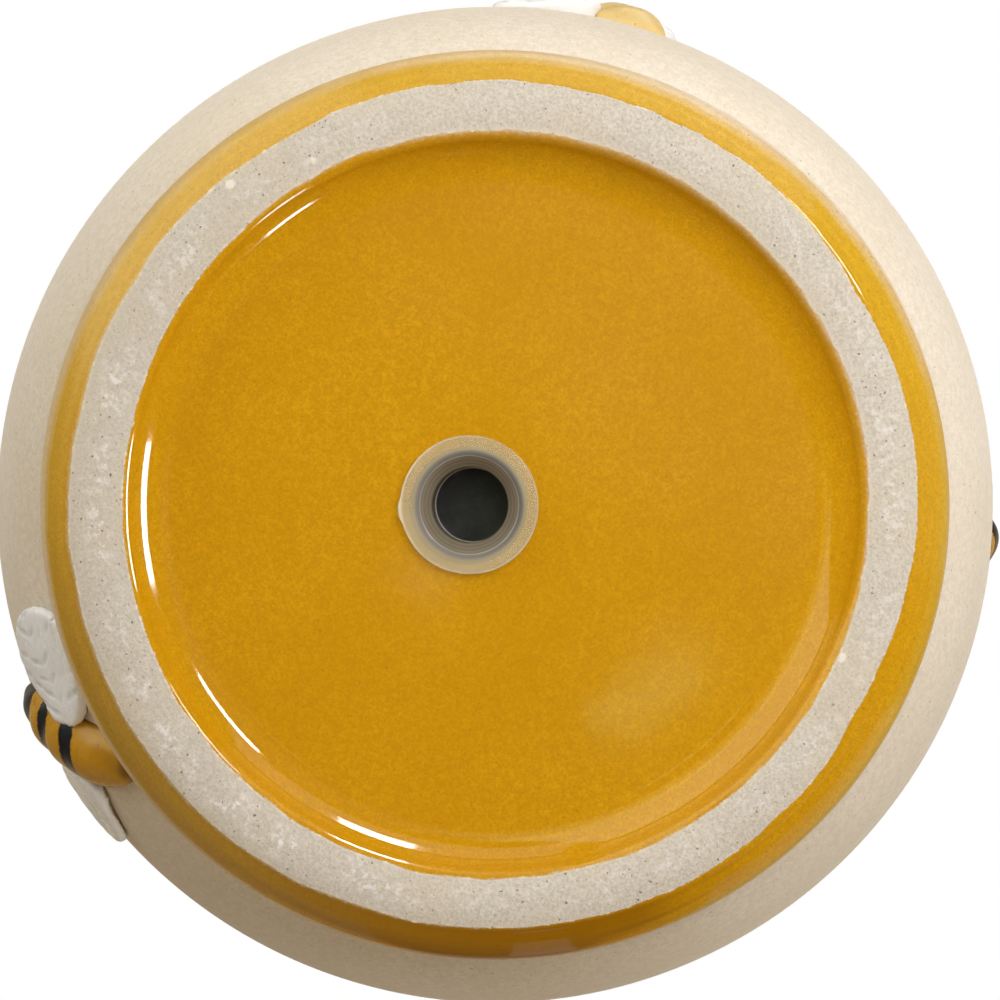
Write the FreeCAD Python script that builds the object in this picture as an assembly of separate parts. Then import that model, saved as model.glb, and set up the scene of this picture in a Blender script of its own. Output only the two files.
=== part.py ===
import FreeCAD
import Part
import math
import os

# Honey pot planter: a thrown stoneware pot on a rolled base band, with three applied clay bees
# and a soft hollow plug in the drain hole. Millimetres, +Z up, origin at the centre of the foot.

# Belly: four arcs that meet smoothly, measured from the widest line down and up
belly_radius = 90.8
lower_side_radius = 150.0
lower_side_angle = 14.0
lower_turn_radius = 34.0
lower_turn_angle = 50.0
upper_side_radius = 120.0
upper_side_angle = 18.0
shoulder_radius = 30.0
shoulder_angle = 62.0
wall = 6.5

# Neck and rolled rim
neck_hollow_radius = 6.0
neck_height = 4.5
rim_bead_radius = 7.5
rim_seat_round = 1.5

# Base band, groove above it, foot ring and the hollow under the base
band_height = 15.8
band_crest_height = 10.0
band_bulge = 5.9
groove_depth = 3.2
groove_round = 1.2
foot_ring_width = 8.9
foot_edge_round = 0.8
recess_depth = 7.0
recess_lip_round = 1.3
recess_fillet = 7.5
base_thickness = 7.5

# Drain hole, off the centre of the base, and its hollow plug
drain_radius = 9.3
drain_offset = 4.4
drain_azimuth = -63.0
drain_edge_round = 0.8
plug_fit = 0.08
plug_rib = 0.4
plug_rib_spacing = 3.4
plug_wall = 2.3
plug_flange_overlap = 2.7
plug_flange_thickness = 2.2
plug_flange_round = 0.6
plug_mouth_step = 1.9
plug_mouth_depth = 3.5
plug_reach = 5.0
plug_end_wall = 1.8
plug_end_chamfer = 1.4

# Clay bees: each is placed on the belly by the middle of its body
bee_front_length = 14.0
bee_rear_length = 24.0
bee_body_radius = 7.2
bee_body_sink = 3.0
wing_length = 21.5
wing_width = 15.0
wing_root_width = 8.0
wing_thickness = 1.6
wing_root_ahead = 6.5
wing_root_aside = 6.0
lower_bee_height = 30.5
middle_bee_height = 77.0
upper_bee_height = 94.8

# Name, azimuth, height, heading seen from outside (0 right, 90 up), and sweep of the wings
bees = [
    ("lower_bee", -91.6, lower_bee_height, 237.0, 47.0),
    ("middle_bee", 40.0, middle_bee_height, 299.0, 21.0),
    ("upper_bee", 120.4, upper_bee_height, 276.0, 34.0),
]

Vector = FreeCAD.Vector
UP = Vector(0, 0, 1)


def sin(degrees):
    return math.sin(math.radians(degrees))


def cos(degrees):
    return math.cos(math.radians(degrees))


def at(radius, height):
    """A point of the section, in the XZ plane."""
    return Vector(radius, 0, height)


def line(start, end):
    return Part.makeLine(start, end)


def arc_point(arc, angle):
    centre_r, centre_z, radius = arc[:3]
    return at(centre_r + radius * cos(angle), centre_z + radius * sin(angle))


def arc_edge(arc):
    """An edge for (centre radius, centre height, radius, start angle, end angle)."""
    start, end = arc[3], arc[4]
    points = [arc_point(arc, angle) for angle in (start, (start + end) / 2, end)]
    return Part.Arc(*points).toShape()


def revolve(edges):
    """The solid that a closed section makes about the Z axis."""
    face = Part.Face(Part.Wire(edges))
    return solid_of(face.revolve(Vector(0, 0, 0), UP, 360))


def solid_of(shape):
    """The solid inside a closed shape, with its faces outward."""
    solid = Part.Solid(shape.Shells[0])
    if solid.Volume < 0:
        solid.reverse()
    return solid


def ring_edges(shape, radius, height):
    """The round edges of a shape about the Z axis at one radius and height."""
    found = []
    for edge in shape.Edges:
        curve = edge.Curve
        if not isinstance(curve, Part.Circle):
            continue
        middle = curve.Center
        level = abs(middle.z - height) < 1e-4 and math.hypot(middle.x, middle.y) < 1e-4
        if level and abs(curve.Radius - radius) < 1e-4:
            found.append(edge)
    return found


# Heights and radii that follow from the driving sizes
turn_drop = lower_turn_radius * (sin(lower_turn_angle) - sin(lower_side_angle))
side_drop = lower_side_radius * sin(lower_side_angle)
belly_height = band_height + turn_drop + side_drop
groove_radius = (belly_radius - lower_side_radius * (1 - cos(lower_side_angle))
                 - lower_turn_radius * (cos(lower_side_angle) - cos(lower_turn_angle)))
crest_radius = groove_radius + groove_depth
foot_outer_radius = crest_radius - band_bulge
foot_inner_radius = foot_outer_radius - foot_ring_width
floor_height = recess_depth + base_thickness


def belly_arcs(offset=0.0):
    """The belly's outline from the groove up to the neck, moved outward by an offset."""
    lower_side_r = belly_radius - lower_side_radius
    upper_side_r = belly_radius - upper_side_radius
    turn_gap = lower_side_radius - lower_turn_radius
    shoulder_gap = upper_side_radius - shoulder_radius
    turn_r = lower_side_r + turn_gap * cos(lower_side_angle)
    turn_z = belly_height - turn_gap * sin(lower_side_angle)
    shoulder_r = upper_side_r + shoulder_gap * cos(upper_side_angle)
    shoulder_z = belly_height + shoulder_gap * sin(upper_side_angle)
    return [
        (turn_r, turn_z, lower_turn_radius + offset, -lower_turn_angle, -lower_side_angle),
        (lower_side_r, belly_height, lower_side_radius + offset, -lower_side_angle, 0.0),
        (upper_side_r, belly_height, upper_side_radius + offset, 0.0, upper_side_angle),
        (shoulder_r, shoulder_z, shoulder_radius + offset, upper_side_angle, shoulder_angle),
    ]


def band_arcs():
    """The base band's outline: foot to crest, then crest to groove."""
    rise = band_height - band_crest_height
    lower = (band_bulge ** 2 + band_crest_height ** 2) / (2 * band_bulge)
    upper = (groove_depth ** 2 + rise ** 2) / (2 * groove_depth)
    lower_angle = math.degrees(math.asin(band_crest_height / lower))
    upper_angle = math.degrees(math.asin(rise / upper))
    return [
        (crest_radius - lower, band_crest_height, lower, -lower_angle, 0.0),
        (crest_radius - upper, band_crest_height, upper, 0.0, upper_angle),
    ]


def neck_hollow(inset=0.0):
    """The hollow turn from shoulder to neck; its middle lies outside the wall."""
    edge = arc_point(belly_arcs()[-1], shoulder_angle)
    middle_r = edge.x + neck_hollow_radius * cos(shoulder_angle)
    middle_z = edge.z + neck_hollow_radius * sin(shoulder_angle)
    return (middle_r, middle_z, neck_hollow_radius + inset, 180 + shoulder_angle, 180.0)


def make_pot():
    hollow = neck_hollow()
    neck_radius = hollow[0] - hollow[2]
    mouth_radius = neck_radius - wall
    bead_r = mouth_radius + rim_bead_radius
    seat_aside = neck_radius - bead_r
    seat_drop = math.sqrt(rim_bead_radius ** 2 - seat_aside ** 2)
    seat_z = hollow[1] + neck_height
    bead_z = seat_z + seat_drop
    seat_angle = math.degrees(math.atan2(-seat_drop, seat_aside))
    outer = [arc_edge(arc) for arc in band_arcs() + belly_arcs()]
    outer.append(arc_edge(hollow))
    outer.append(line(at(neck_radius, hollow[1]), at(neck_radius, seat_z)))
    stops = [seat_angle, 0.0, 90.0, 180.0]
    for start, end in zip(stops, stops[1:]):
        outer.append(arc_edge((bead_r, bead_z, rim_bead_radius, start, end)))

    # The inside keeps the wall's thickness, then turns into the floor
    inner_arcs = belly_arcs(-wall)
    turn = lower_turn_radius - wall
    side_r, side_z, side = inner_arcs[1][:3]
    turn_z = floor_height + turn
    turn_r = side_r + math.sqrt((side - turn) ** 2 - (side_z - turn_z) ** 2)
    meet = -math.degrees(math.asin((side_z - turn_z) / (side - turn)))
    inner = [line(at(mouth_radius, bead_z), at(mouth_radius, hollow[1]))]
    inner.append(arc_edge(neck_hollow(wall)[:3] + (180.0, 180 + shoulder_angle)))
    for centre_r, centre_z, radius, start, end in reversed(inner_arcs[2:]):
        inner.append(arc_edge((centre_r, centre_z, radius, end, start)))
    inner.append(arc_edge((side_r, side_z, side, 0.0, meet)))
    inner.append(arc_edge((turn_r, turn_z, turn, meet, -90.0)))
    inner.append(line(at(turn_r, floor_height), at(0, floor_height)))

    # The hollow under the base: a round lip at the foot ring, then a wide fillet
    lean = math.degrees(math.acos(1 - recess_depth / (recess_lip_round + recess_fillet)))
    flat_radius = foot_inner_radius - (recess_lip_round + recess_fillet) * sin(lean)
    fillet = (flat_radius, recess_depth - recess_fillet, recess_fillet, 90.0, 90 - lean)
    lip = (foot_inner_radius, recess_lip_round, recess_lip_round, 270 - lean, 270.0)
    under = [line(at(0, floor_height), at(0, recess_depth))]
    under.append(line(at(0, recess_depth), at(flat_radius, recess_depth)))
    under.append(arc_edge(fillet))
    under.append(arc_edge(lip))
    under.append(line(at(foot_inner_radius, 0), at(foot_outer_radius, 0)))
    pot = revolve(outer + inner + under)

    rounds = [
        (groove_round, groove_radius, band_height),
        (foot_edge_round, foot_outer_radius, 0.0),
        (rim_seat_round, neck_radius, seat_z),
    ]
    for radius, ring_radius, ring_height in rounds:
        pot = pot.makeFillet(radius, ring_edges(pot, ring_radius, ring_height))

    hole = Part.makeCylinder(drain_radius, base_thickness, drain_point(recess_depth), UP)
    pot = pot.cut(hole)
    rims = [edge for edge in pot.Edges if is_drain_rim(edge)]
    return pot.makeFillet(drain_edge_round, rims)


def drain_point(height):
    return Vector(drain_offset * cos(drain_azimuth), drain_offset * sin(drain_azimuth), height)


def is_drain_rim(edge):
    curve = edge.Curve
    return isinstance(curve, Part.Circle) and abs(curve.Radius - drain_radius) < 1e-6


def make_plug():
    """A hollow stopper: flange under the base, ribbed barrel through it, closed inner end."""
    rib_radius = drain_radius - plug_fit
    barrel = rib_radius - plug_rib
    cup = barrel - plug_wall
    mouth = cup + plug_mouth_step
    flange = drain_radius + plug_flange_overlap
    bottom = recess_depth - plug_flange_thickness
    top = floor_height + plug_reach
    outline = [
        at(mouth, bottom), at(flange, bottom), at(flange, recess_depth), at(barrel, recess_depth),
        at(barrel, top - plug_end_chamfer), at(barrel - plug_end_chamfer, top), at(0, top),
        at(0, top - plug_end_wall), at(cup, top - plug_end_wall), at(cup, bottom + plug_mouth_depth),
    ]
    plug = revolve([line(a, b) for a, b in zip(outline, outline[1:] + outline[:1])])
    plug = plug.makeFillet(plug_flange_round, ring_edges(plug, flange, bottom))
    middle = recess_depth + base_thickness / 2
    for side in (-0.5, 0.5):
        rib = Part.makeTorus(barrel, plug_rib, Vector(0, 0, middle + side * plug_rib_spacing), UP)
        plug = plug.fuse(rib)
    plug = plug.removeSplitter()
    plug.translate(drain_point(0))
    return plug


def belly_solid(offset):
    """Everything inside the belly's outline, moved outward by an offset."""
    arcs = belly_arcs(offset)
    low = arc_point(arcs[0], arcs[0][3])
    high = arc_point(arcs[-1], arcs[-1][4])
    edges = [arc_edge(arc) for arc in arcs]
    edges.append(line(high, at(0, high.z)))
    edges.append(line(at(0, high.z), at(0, low.z)))
    edges.append(line(at(0, low.z), low))
    return revolve(edges)


def wall_distance(height):
    """How far up the belly, along its outline from the groove, a height lies."""
    distance = 0.0
    for arc in belly_arcs():
        start, end = arc[3], arc[4]
        if height <= arc_point(arc, end).z:
            angle = math.degrees(math.asin((height - arc[1]) / arc[2]))
            return distance + arc[2] * math.radians(angle - start)
        distance += arc[2] * math.radians(end - start)
    raise ValueError("height is above the belly")


def wall_point(distance):
    """Radius, height and lean of the wall at a distance up the belly's outline."""
    for arc in belly_arcs():
        start, end = arc[3], arc[4]
        length = arc[2] * math.radians(end - start)
        if distance <= length:
            angle = start + math.degrees(distance / arc[2])
            point = arc_point(arc, angle)
            return point.x, point.z, angle
        distance -= length
    raise ValueError("distance runs past the belly")


def wall_frame(bee, ahead, aside):
    """A placement on the belly near a bee's middle: X ahead, Y to the bee's left, Z out."""
    azimuth, height, heading = bee[1:4]
    right = ahead * cos(heading) - aside * sin(heading)
    rise = ahead * sin(heading) + aside * cos(heading)
    radius, height, lean = wall_point(wall_distance(height) + rise)
    azimuth += math.degrees(right / radius)
    outward = Vector(cos(azimuth), sin(azimuth), 0)
    x_axis = Vector(-sin(azimuth), cos(azimuth), 0)
    z_axis = outward * cos(lean) + UP * sin(lean)
    turned = FreeCAD.Rotation(x_axis, z_axis.cross(x_axis), z_axis, "ZXY")
    turned = turned.multiply(FreeCAD.Rotation(UP, heading))
    return FreeCAD.Placement(outward * radius + UP * height, turned)


def placed(shape, frame):
    shape.Placement = frame.multiply(shape.Placement)
    return shape


def body_blank(bee):
    """An egg about the bee's own axis, blunt in front and drawn out behind."""
    widest = (bee_rear_length - bee_front_length) / 2
    middle = Vector(widest, 0, 0)
    front = widest + bee_front_length
    rear = widest - bee_rear_length
    crown = Vector(widest, bee_body_radius, 0)
    edges = [
        half_ellipse(middle, Vector(front, 0, 0), crown),
        half_ellipse(middle, Vector(rear, 0, 0), crown),
        line(Vector(rear, 0, 0), Vector(front, 0, 0)),
    ]
    face = Part.Face(Part.Wire(Part.__sortEdges__(edges)))
    egg = solid_of(face.revolve(Vector(0, 0, 0), Vector(1, 0, 0), 360))
    egg.translate(Vector(0, 0, -bee_body_sink))
    return placed(egg, along_wall(bee, front, rear))


def along_wall(bee, front, rear):
    """The frame at a bee's middle, tipped so that its axis runs level with the wall below."""
    frame = wall_frame(bee, 0, 0)
    x_axis = (wall_frame(bee, front, 0).Base - wall_frame(bee, rear, 0).Base).normalize()
    y_axis = frame.Rotation.multVec(UP).cross(x_axis).normalize()
    turned = FreeCAD.Rotation(x_axis, y_axis, x_axis.cross(y_axis), "XYZ")
    return FreeCAD.Placement(frame.Base, turned)


def half_ellipse(middle, tip, crown):
    """A quarter of an ellipse from its tip to its crown."""
    curve = Part.Ellipse(tip, crown, middle)
    return Part.Arc(curve, 0, math.pi / 2).toShape()


def wing_blank(bee, side):
    """A wing outline that widens from root to tip, cut through the wing's thickness."""
    tip = wing_width / 2
    root = wing_root_width / 2
    reach = wing_length - tip - root
    lean = math.degrees(math.asin((tip - root) / reach))
    first = 90 + lean
    root_at = Vector(-reach / 2, 0, 0)
    tip_at = Vector(reach / 2, 0, 0)

    def round_point(middle, radius, angle):
        return middle + Vector(radius * cos(angle), radius * sin(angle), 0)

    root_arc = [round_point(root_at, root, angle) for angle in (first, 180, -first)]
    tip_arc = [round_point(tip_at, tip, angle) for angle in (-first, 0, first)]
    edges = [
        Part.Arc(*root_arc).toShape(),
        line(root_arc[2], tip_arc[0]),
        Part.Arc(*tip_arc).toShape(),
        line(tip_arc[2], root_arc[0]),
    ]
    depth = wing_width
    prism = Part.Face(Part.Wire(edges)).extrude(Vector(0, 0, depth))
    prism.translate(Vector(0, 0, -depth / 2))
    pointing = 180 - side * bee[4]
    prism.rotate(Vector(0, 0, 0), UP, pointing)
    middle = root + reach / 2
    ahead = wing_root_ahead + middle * cos(pointing)
    aside = side * wing_root_aside + middle * sin(pointing)
    return placed(prism, wall_frame(bee, ahead, aside))


def make_bee(bee, belly, wing_layer):
    """The clay pieces of one bee, each seated on the belly and on its neighbours."""
    body = body_blank(bee)
    pieces = {bee[0] + "_body": body.cut(belly)}
    for side, label in ((1, "_left_wing"), (-1, "_right_wing")):
        wing = wing_blank(bee, side).common(wing_layer).cut(belly)
        pieces[bee[0] + label] = wing.cut(body)
    return pieces


pieces = {"pot_body": make_pot(), "drain_plug": make_plug()}
belly = belly_solid(0.0)
wing_layer = belly_solid(wing_thickness)
for bee in bees:
    pieces.update(make_bee(bee, belly, wing_layer))

os.makedirs("parts", exist_ok=True)
for node, shape in pieces.items():
    shape.exportStep("parts/" + node + ".step")
    print(node, len(shape.Solids), "solid", round(shape.Volume, 1), "mm3", shape.isValid())
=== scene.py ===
import math

import bmesh
import bpy
import numpy as np
from bpy.props import (
    FloatProperty,
    FloatVectorProperty,
    IntProperty,
    PointerProperty,
)
from mathutils import Matrix, Vector
from mathutils.bvhtree import BVHTree


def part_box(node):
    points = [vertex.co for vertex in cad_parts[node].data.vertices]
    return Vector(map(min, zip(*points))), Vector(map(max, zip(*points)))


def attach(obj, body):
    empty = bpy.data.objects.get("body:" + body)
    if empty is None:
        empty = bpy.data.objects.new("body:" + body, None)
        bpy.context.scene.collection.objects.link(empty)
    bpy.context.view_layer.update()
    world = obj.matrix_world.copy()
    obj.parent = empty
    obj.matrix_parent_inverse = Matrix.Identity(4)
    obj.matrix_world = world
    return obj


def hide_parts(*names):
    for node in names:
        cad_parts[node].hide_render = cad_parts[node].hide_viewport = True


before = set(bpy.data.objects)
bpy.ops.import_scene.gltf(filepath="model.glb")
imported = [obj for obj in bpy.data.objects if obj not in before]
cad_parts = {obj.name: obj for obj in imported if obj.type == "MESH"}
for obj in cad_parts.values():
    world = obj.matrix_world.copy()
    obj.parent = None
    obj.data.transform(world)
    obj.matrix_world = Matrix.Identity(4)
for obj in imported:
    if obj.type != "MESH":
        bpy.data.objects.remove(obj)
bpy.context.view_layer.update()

bl_info = {
    "name": "Honey pot planter",
    "version": (1, 0, 0),
    "blender": (4, 5, 0),
    "location": "3D View > Sidebar > Planter",
    "description": "Glazes a stoneware planter, its clay bees and its drain plug over their solids",
    "category": "Object",
}

MM = 0.001
BEES = ("lower_bee", "middle_bee", "upper_bee")

# The photograph looks straight up at the base: these are the picture's right and up in the pot's frame
PICTURE_TURN = math.radians(27.0)
PICTURE_UP = Vector((math.cos(PICTURE_TURN), math.sin(PICTURE_TURN), 0.0))
PICTURE_RIGHT = Vector((-math.sin(PICTURE_TURN), math.cos(PICTURE_TURN), 0.0))


def colour_setting(name, description, default):
    """A colour that a user may change, as linear red, green and blue."""
    return FloatVectorProperty(
        name=name, description=description, subtype="COLOR", size=3,
        min=0.0, max=1.0, default=default,
    )


def length_setting(name, description, millimetres):
    """A length that a user may change, kept in metres."""
    return FloatProperty(
        name=name, description=description, unit="LENGTH", precision=5,
        min=0.0, default=millimetres * MM,
    )


class PlanterPotSettings(bpy.types.PropertyGroup):
    columns: IntProperty(
        name="Columns", description="Mesh columns round the pot", default=400, min=96
    )
    waver: length_setting("Hand waver", "How far the thrown wall strays from true round", 0.14)
    glaze_step: length_setting("Glaze step", "How far glaze stands above the bare clay", 0.16)
    drip_relief: length_setting("Drip relief", "How far the honey runs stand out", 0.75)
    ring_crown: length_setting("Ring crown", "How far the foot ring's edges curve up", 1.0)
    honey: colour_setting("Honey glaze", "Gloss glaze of base, rim and inside", (0.684, 0.349, 0.006))
    honey_thin: colour_setting("Thin honey", "Honey glaze where it runs out", (0.70, 0.42, 0.03))
    # Partly painted shade: a darker tan honey laid on the band's lower left
    honey_tan_shade: colour_setting("Dull honey", "Honey glaze where it is matt", (0.49, 0.288, 0.042))
    cream: colour_setting("Cream glaze", "Satin glaze of the belly", (0.850, 0.772, 0.668))
    clay: colour_setting("Bare clay", "Unglazed foot ring", (0.665, 0.618, 0.545))


class PlanterBeeSettings(bpy.types.PropertyGroup):
    amber: colour_setting("Bee amber", "Glaze of the bee's body", (0.62, 0.335, 0.020))
    stripe: colour_setting("Bee stripe", "Dark bands of the body", (0.008, 0.009, 0.012))
    # Also painted light on the middle bee, high in the brightest light
    pale: colour_setting("Pale amber", "Thin glaze on a bee's body", (0.88, 0.69, 0.31))
    wing: colour_setting("Wing white", "Glaze on top of the wings", (0.95, 0.965, 0.99))
    clay_edge: colour_setting("Wing edge", "Thin glaze at the wing's cut edge", (0.38, 0.28, 0.17))
    detail: length_setting("Detail", "Mesh spacing on the bees", 0.28)
    bedding: length_setting("Bedding", "How deep a bee is pressed into the wall", 0.6)
    swell: length_setting("Wing swell", "How far the wings are plumped out", 0.55)


class PlanterPlugSettings(bpy.types.PropertyGroup):
    columns: IntProperty(
        name="Columns", description="Mesh columns round the plug", default=192, min=48
    )
    tint: colour_setting("Plug tint", "Cloudy soft plastic", (0.80, 0.725, 0.46))
    # Colours of painted shade: in the plug's bore and over the drain hole's edge
    bore: colour_setting("Plug bore", "Plastic inside the bore", (0.20, 0.165, 0.130))
    shade: colour_setting("Plug shade", "Plastic over the drain hole's edge", (0.125, 0.112, 0.102))
    # Painted shade: the closed end is near black
    end: colour_setting("Plug end", "The plug's closed end", (0.0105, 0.0100, 0.0130))
    bore_lean: length_setting("Bore lean", "How far the bore runs off centre at its end", 0.55)
    flash: length_setting("Flash", "Length of the moulding nub on the flange", 0.40)


class PlanterStageSettings(bpy.types.PropertyGroup):
    camera_distance: FloatProperty(
        name="Camera distance", description="From the foot plane to the lens",
        unit="LENGTH", default=0.9,
    )
    frame_width: FloatProperty(
        name="Frame width", description="Width of the picture at the foot plane",
        unit="LENGTH", default=0.1705,
    )
    ambient: FloatProperty(
        name="Ambient", description="Even light from above and all round", default=0.15, min=0.0
    )
    floor_light: FloatProperty(
        name="Floor light", description="Even light from the floor's side", default=0.075, min=0.0
    )
    warmth: colour_setting("Warmth", "Tint of the even light", (1.0, 0.80, 0.54))
    lamp_level: FloatProperty(
        name="Lamp level", description="All lamps together", default=1.0, min=0.0
    )


# Numbers on arrays

def smoothstep(low, high, value):
    """0 up to one value, 1 from the other on, and a smooth rise between."""
    share = np.clip((value - low) / (high - low), 0.0, 1.0)
    return share * share * (3.0 - 2.0 * share)


def turned_from(angle, degrees):
    """Signed angle from a turn that is given in degrees, between minus and plus half a round."""
    return np.angle(np.exp(1j * (angle - math.radians(degrees))))


def bell(distance, width):
    """1 at no distance, falling off smoothly over a width."""
    return np.exp(-(distance / width) ** 2)


def picture_angle(turn):
    """Angle in the picture, from its right, of a turn round the pot."""
    return math.pi / 2 + PICTURE_TURN - turn


def soft_max(first, second, width):
    """The larger of two distances, with the corner between them rounded over."""
    share = np.clip(0.5 + 0.5 * (first - second) / width, 0.0, 1.0)
    return second + (first - second) * share + width * share * (1.0 - share)


def waver(angle, seed, lowest, highest, fall=0.8):
    """A smooth uneven line round the pot, about -1 to 1, from waves of whole counts."""
    draw = np.random.default_rng(seed)
    total = np.zeros_like(angle)
    size = 0.0
    for count in range(lowest, highest + 1):
        share = (lowest / count) ** fall
        total = total + share * np.cos(count * angle + draw.uniform(0.0, 2.0 * math.pi))
        size += share * share
    return total / math.sqrt(2.0 * size)


# Outlines read from the solids

def cut_loops(node, centre, azimuth):
    """Closed outlines, as (distance from centre, height), where an upright plane cuts a CAD solid."""
    along = Vector((math.cos(azimuth), math.sin(azimuth), 0.0))
    solid = bmesh.new()
    solid.from_mesh(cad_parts[node].data)
    bmesh.ops.remove_doubles(solid, verts=solid.verts, dist=0.001 * MM)
    cut = bmesh.ops.bisect_plane(
        solid, geom=[*solid.verts, *solid.edges, *solid.faces], dist=1e-8,
        plane_co=centre, plane_no=(-along.y, along.x, 0.0),
    )
    beside = {}
    for edge in cut["geom_cut"]:
        if isinstance(edge, bmesh.types.BMEdge):
            first, second = edge.verts
            beside.setdefault(first, []).append(second)
            beside.setdefault(second, []).append(first)
    loops, seen = [], set()
    for start in beside:
        loop, spot = [], None if start in seen else start
        while spot is not None:
            seen.add(spot)
            loop.append(((spot.co - centre).dot(along), spot.co.z))
            spot = next((other for other in beside[spot] if other not in seen), None)
        if len(loop) > 8:
            loops.append(np.array(loop))
    solid.free()
    return loops


def counter_clockwise(loop):
    """A closed outline, turned round where it runs clockwise."""
    area = np.sum(loop[:, 0] * np.roll(loop[:, 1], -1) - np.roll(loop[:, 0], -1) * loop[:, 1])
    return loop[::-1] if area < 0 else loop


def along_line(points):
    """Distance along a line of points, from its first one."""
    steps = np.hypot(*np.diff(points, axis=0).T)
    return np.concatenate([[0.0], np.cumsum(steps)])


def resample(points, spacing):
    """Points along a line at a spacing that may differ from place to place."""
    length = along_line(points)
    fine = np.linspace(0.0, length[-1], 6000)
    r = np.interp(fine, length, points[:, 0])
    z = np.interp(fine, length, points[:, 1])
    density = 1.0 / spacing(r, z)
    count = np.concatenate([[0.0], np.cumsum((density[1:] + density[:-1]) / 2 * np.diff(fine))])
    wanted = np.linspace(0.0, count[-1], max(8, int(round(count[-1]))) + 1)
    place = np.interp(wanted, count, fine)
    return np.column_stack([np.interp(place, fine, r), np.interp(place, fine, z)])


def outward(points, closed):
    """Unit normals of an outline that runs counter-clockwise in (distance, height)."""
    if closed:
        step = np.roll(points, -1, axis=0) - np.roll(points, 1, axis=0)
    else:
        step = np.gradient(points, axis=0)
    step = step / np.hypot(step[:, 0], step[:, 1])[:, None]
    return np.column_stack([step[:, 1], -step[:, 0]])


# Meshes

def mesh_object(name, points, faces, values=None):
    """A smooth-shaded object from arrays of points and faces, with named values on its points."""
    mesh = bpy.data.meshes.new(name)
    mesh.from_pydata(points.tolist(), [], faces)
    return dressed_object(name, mesh, values)


def dressed_object(name, mesh, values=None):
    """A smooth-shaded object of a mesh, with named values on its points."""
    for label, numbers in (values or {}).items():
        layer = mesh.attributes.new(label, "FLOAT", "POINT")
        layer.data.foreach_set("value", np.asarray(numbers, np.float32).ravel())
    mesh.polygons.foreach_set("use_smooth", np.ones(len(mesh.polygons), bool))
    mesh.update()
    made = bpy.data.objects.new(name, mesh)
    bpy.context.scene.collection.objects.link(made)
    return made


def lathe_faces(rings, columns, closed):
    """Four-sided faces of a grid of rings, the last ring joined to the first where closed."""
    ring = np.arange(rings if closed else rings - 1)[:, None]
    column = np.arange(columns)[None, :]
    following = (ring + 1) % rings
    beside = (column + 1) % columns
    corners = [
        ring * columns + column, ring * columns + beside,
        following * columns + beside, following * columns + column,
    ]
    return np.stack(np.broadcast_arrays(*corners), axis=-1).reshape(-1, 4).tolist()


# Shader building

def node(tree, kind, inputs=None, **settings):
    """A shader node with its settings, and its inputs either linked or given a value."""
    made = tree.nodes.new(kind)
    for name, value in settings.items():
        setattr(made, name, value)
    for name, value in (inputs or {}).items():
        if isinstance(value, bpy.types.NodeSocket):
            tree.links.new(value, made.inputs[name])
        else:
            made.inputs[name].default_value = value
    return made


def number(tree, operation, first, second=0.0, clamp=False):
    """A sum on one or two numbers."""
    made = node(tree, "ShaderNodeMath", {0: first, 1: second}, operation=operation)
    made.use_clamp = clamp
    return made.outputs[0]


def vector(tree, operation, inputs):
    """A sum on vectors."""
    return node(tree, "ShaderNodeVectorMath", inputs, operation=operation).outputs["Vector"]


def between(tree, value, low, high, to_low=0.0, to_high=1.0):
    """A value carried from one span to another along a smooth step."""
    made = node(
        tree, "ShaderNodeMapRange",
        {"Value": value, "From Min": low, "From Max": high, "To Min": to_low, "To Max": to_high},
        interpolation_type="SMOOTHSTEP",
    )
    return made.outputs["Result"]


def rgba(colour):
    """A colour at full alpha."""
    return (*colour[:3], 1.0)


def tone(tree, share, first, second):
    """A mix of two colours."""
    made = node(tree, "ShaderNodeMix", data_type="RGBA", clamp_factor=True)
    for index, value in ((0, share), (6, first), (7, second)):
        if isinstance(value, bpy.types.NodeSocket):
            tree.links.new(value, made.inputs[index])
        else:
            made.inputs[index].default_value = value if index == 0 else rgba(value)
    return made.outputs[2]


def dabbed(tree, mask, strength, under, over):
    """A colour laid over another through a mask, at a strength."""
    return tone(tree, number(tree, "MULTIPLY", mask, strength), under, over)


def level(tree, share, first, second):
    """A mix of two numbers."""
    made = node(tree, "ShaderNodeMix", {0: share, 2: first, 3: second}, clamp_factor=True)
    return made.outputs[0]


def point_value(tree, name):
    """A named value that the mesh keeps on its points."""
    made = node(tree, "ShaderNodeAttribute", attribute_name=name, attribute_type="GEOMETRY")
    return made.outputs["Fac"]


def object_place(tree):
    """A place on the piece, in metres in the pot's frame."""
    return node(tree, "ShaderNodeTexCoord").outputs["Object"]


def new_group(name, inputs, outputs):
    """An empty shader node group with named number, vector or colour sockets."""
    group = bpy.data.node_groups.new(name, "ShaderNodeTree")
    for label, kind, default in inputs:
        socket = group.interface.new_socket(label, in_out="INPUT", socket_type=kind)
        if default is not None:
            socket.default_value = default
    for label, kind in outputs:
        group.interface.new_socket(label, in_out="OUTPUT", socket_type=kind)
    return group, group.nodes.new("NodeGroupInput"), group.nodes.new("NodeGroupOutput")


def use_group(tree, group, **inputs):
    """A shared effect placed in a material, with its own values."""
    named = {label.replace("_", " "): value for label, value in inputs.items()}
    return node(tree, "ShaderNodeGroup", named, node_tree=group)


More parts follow.
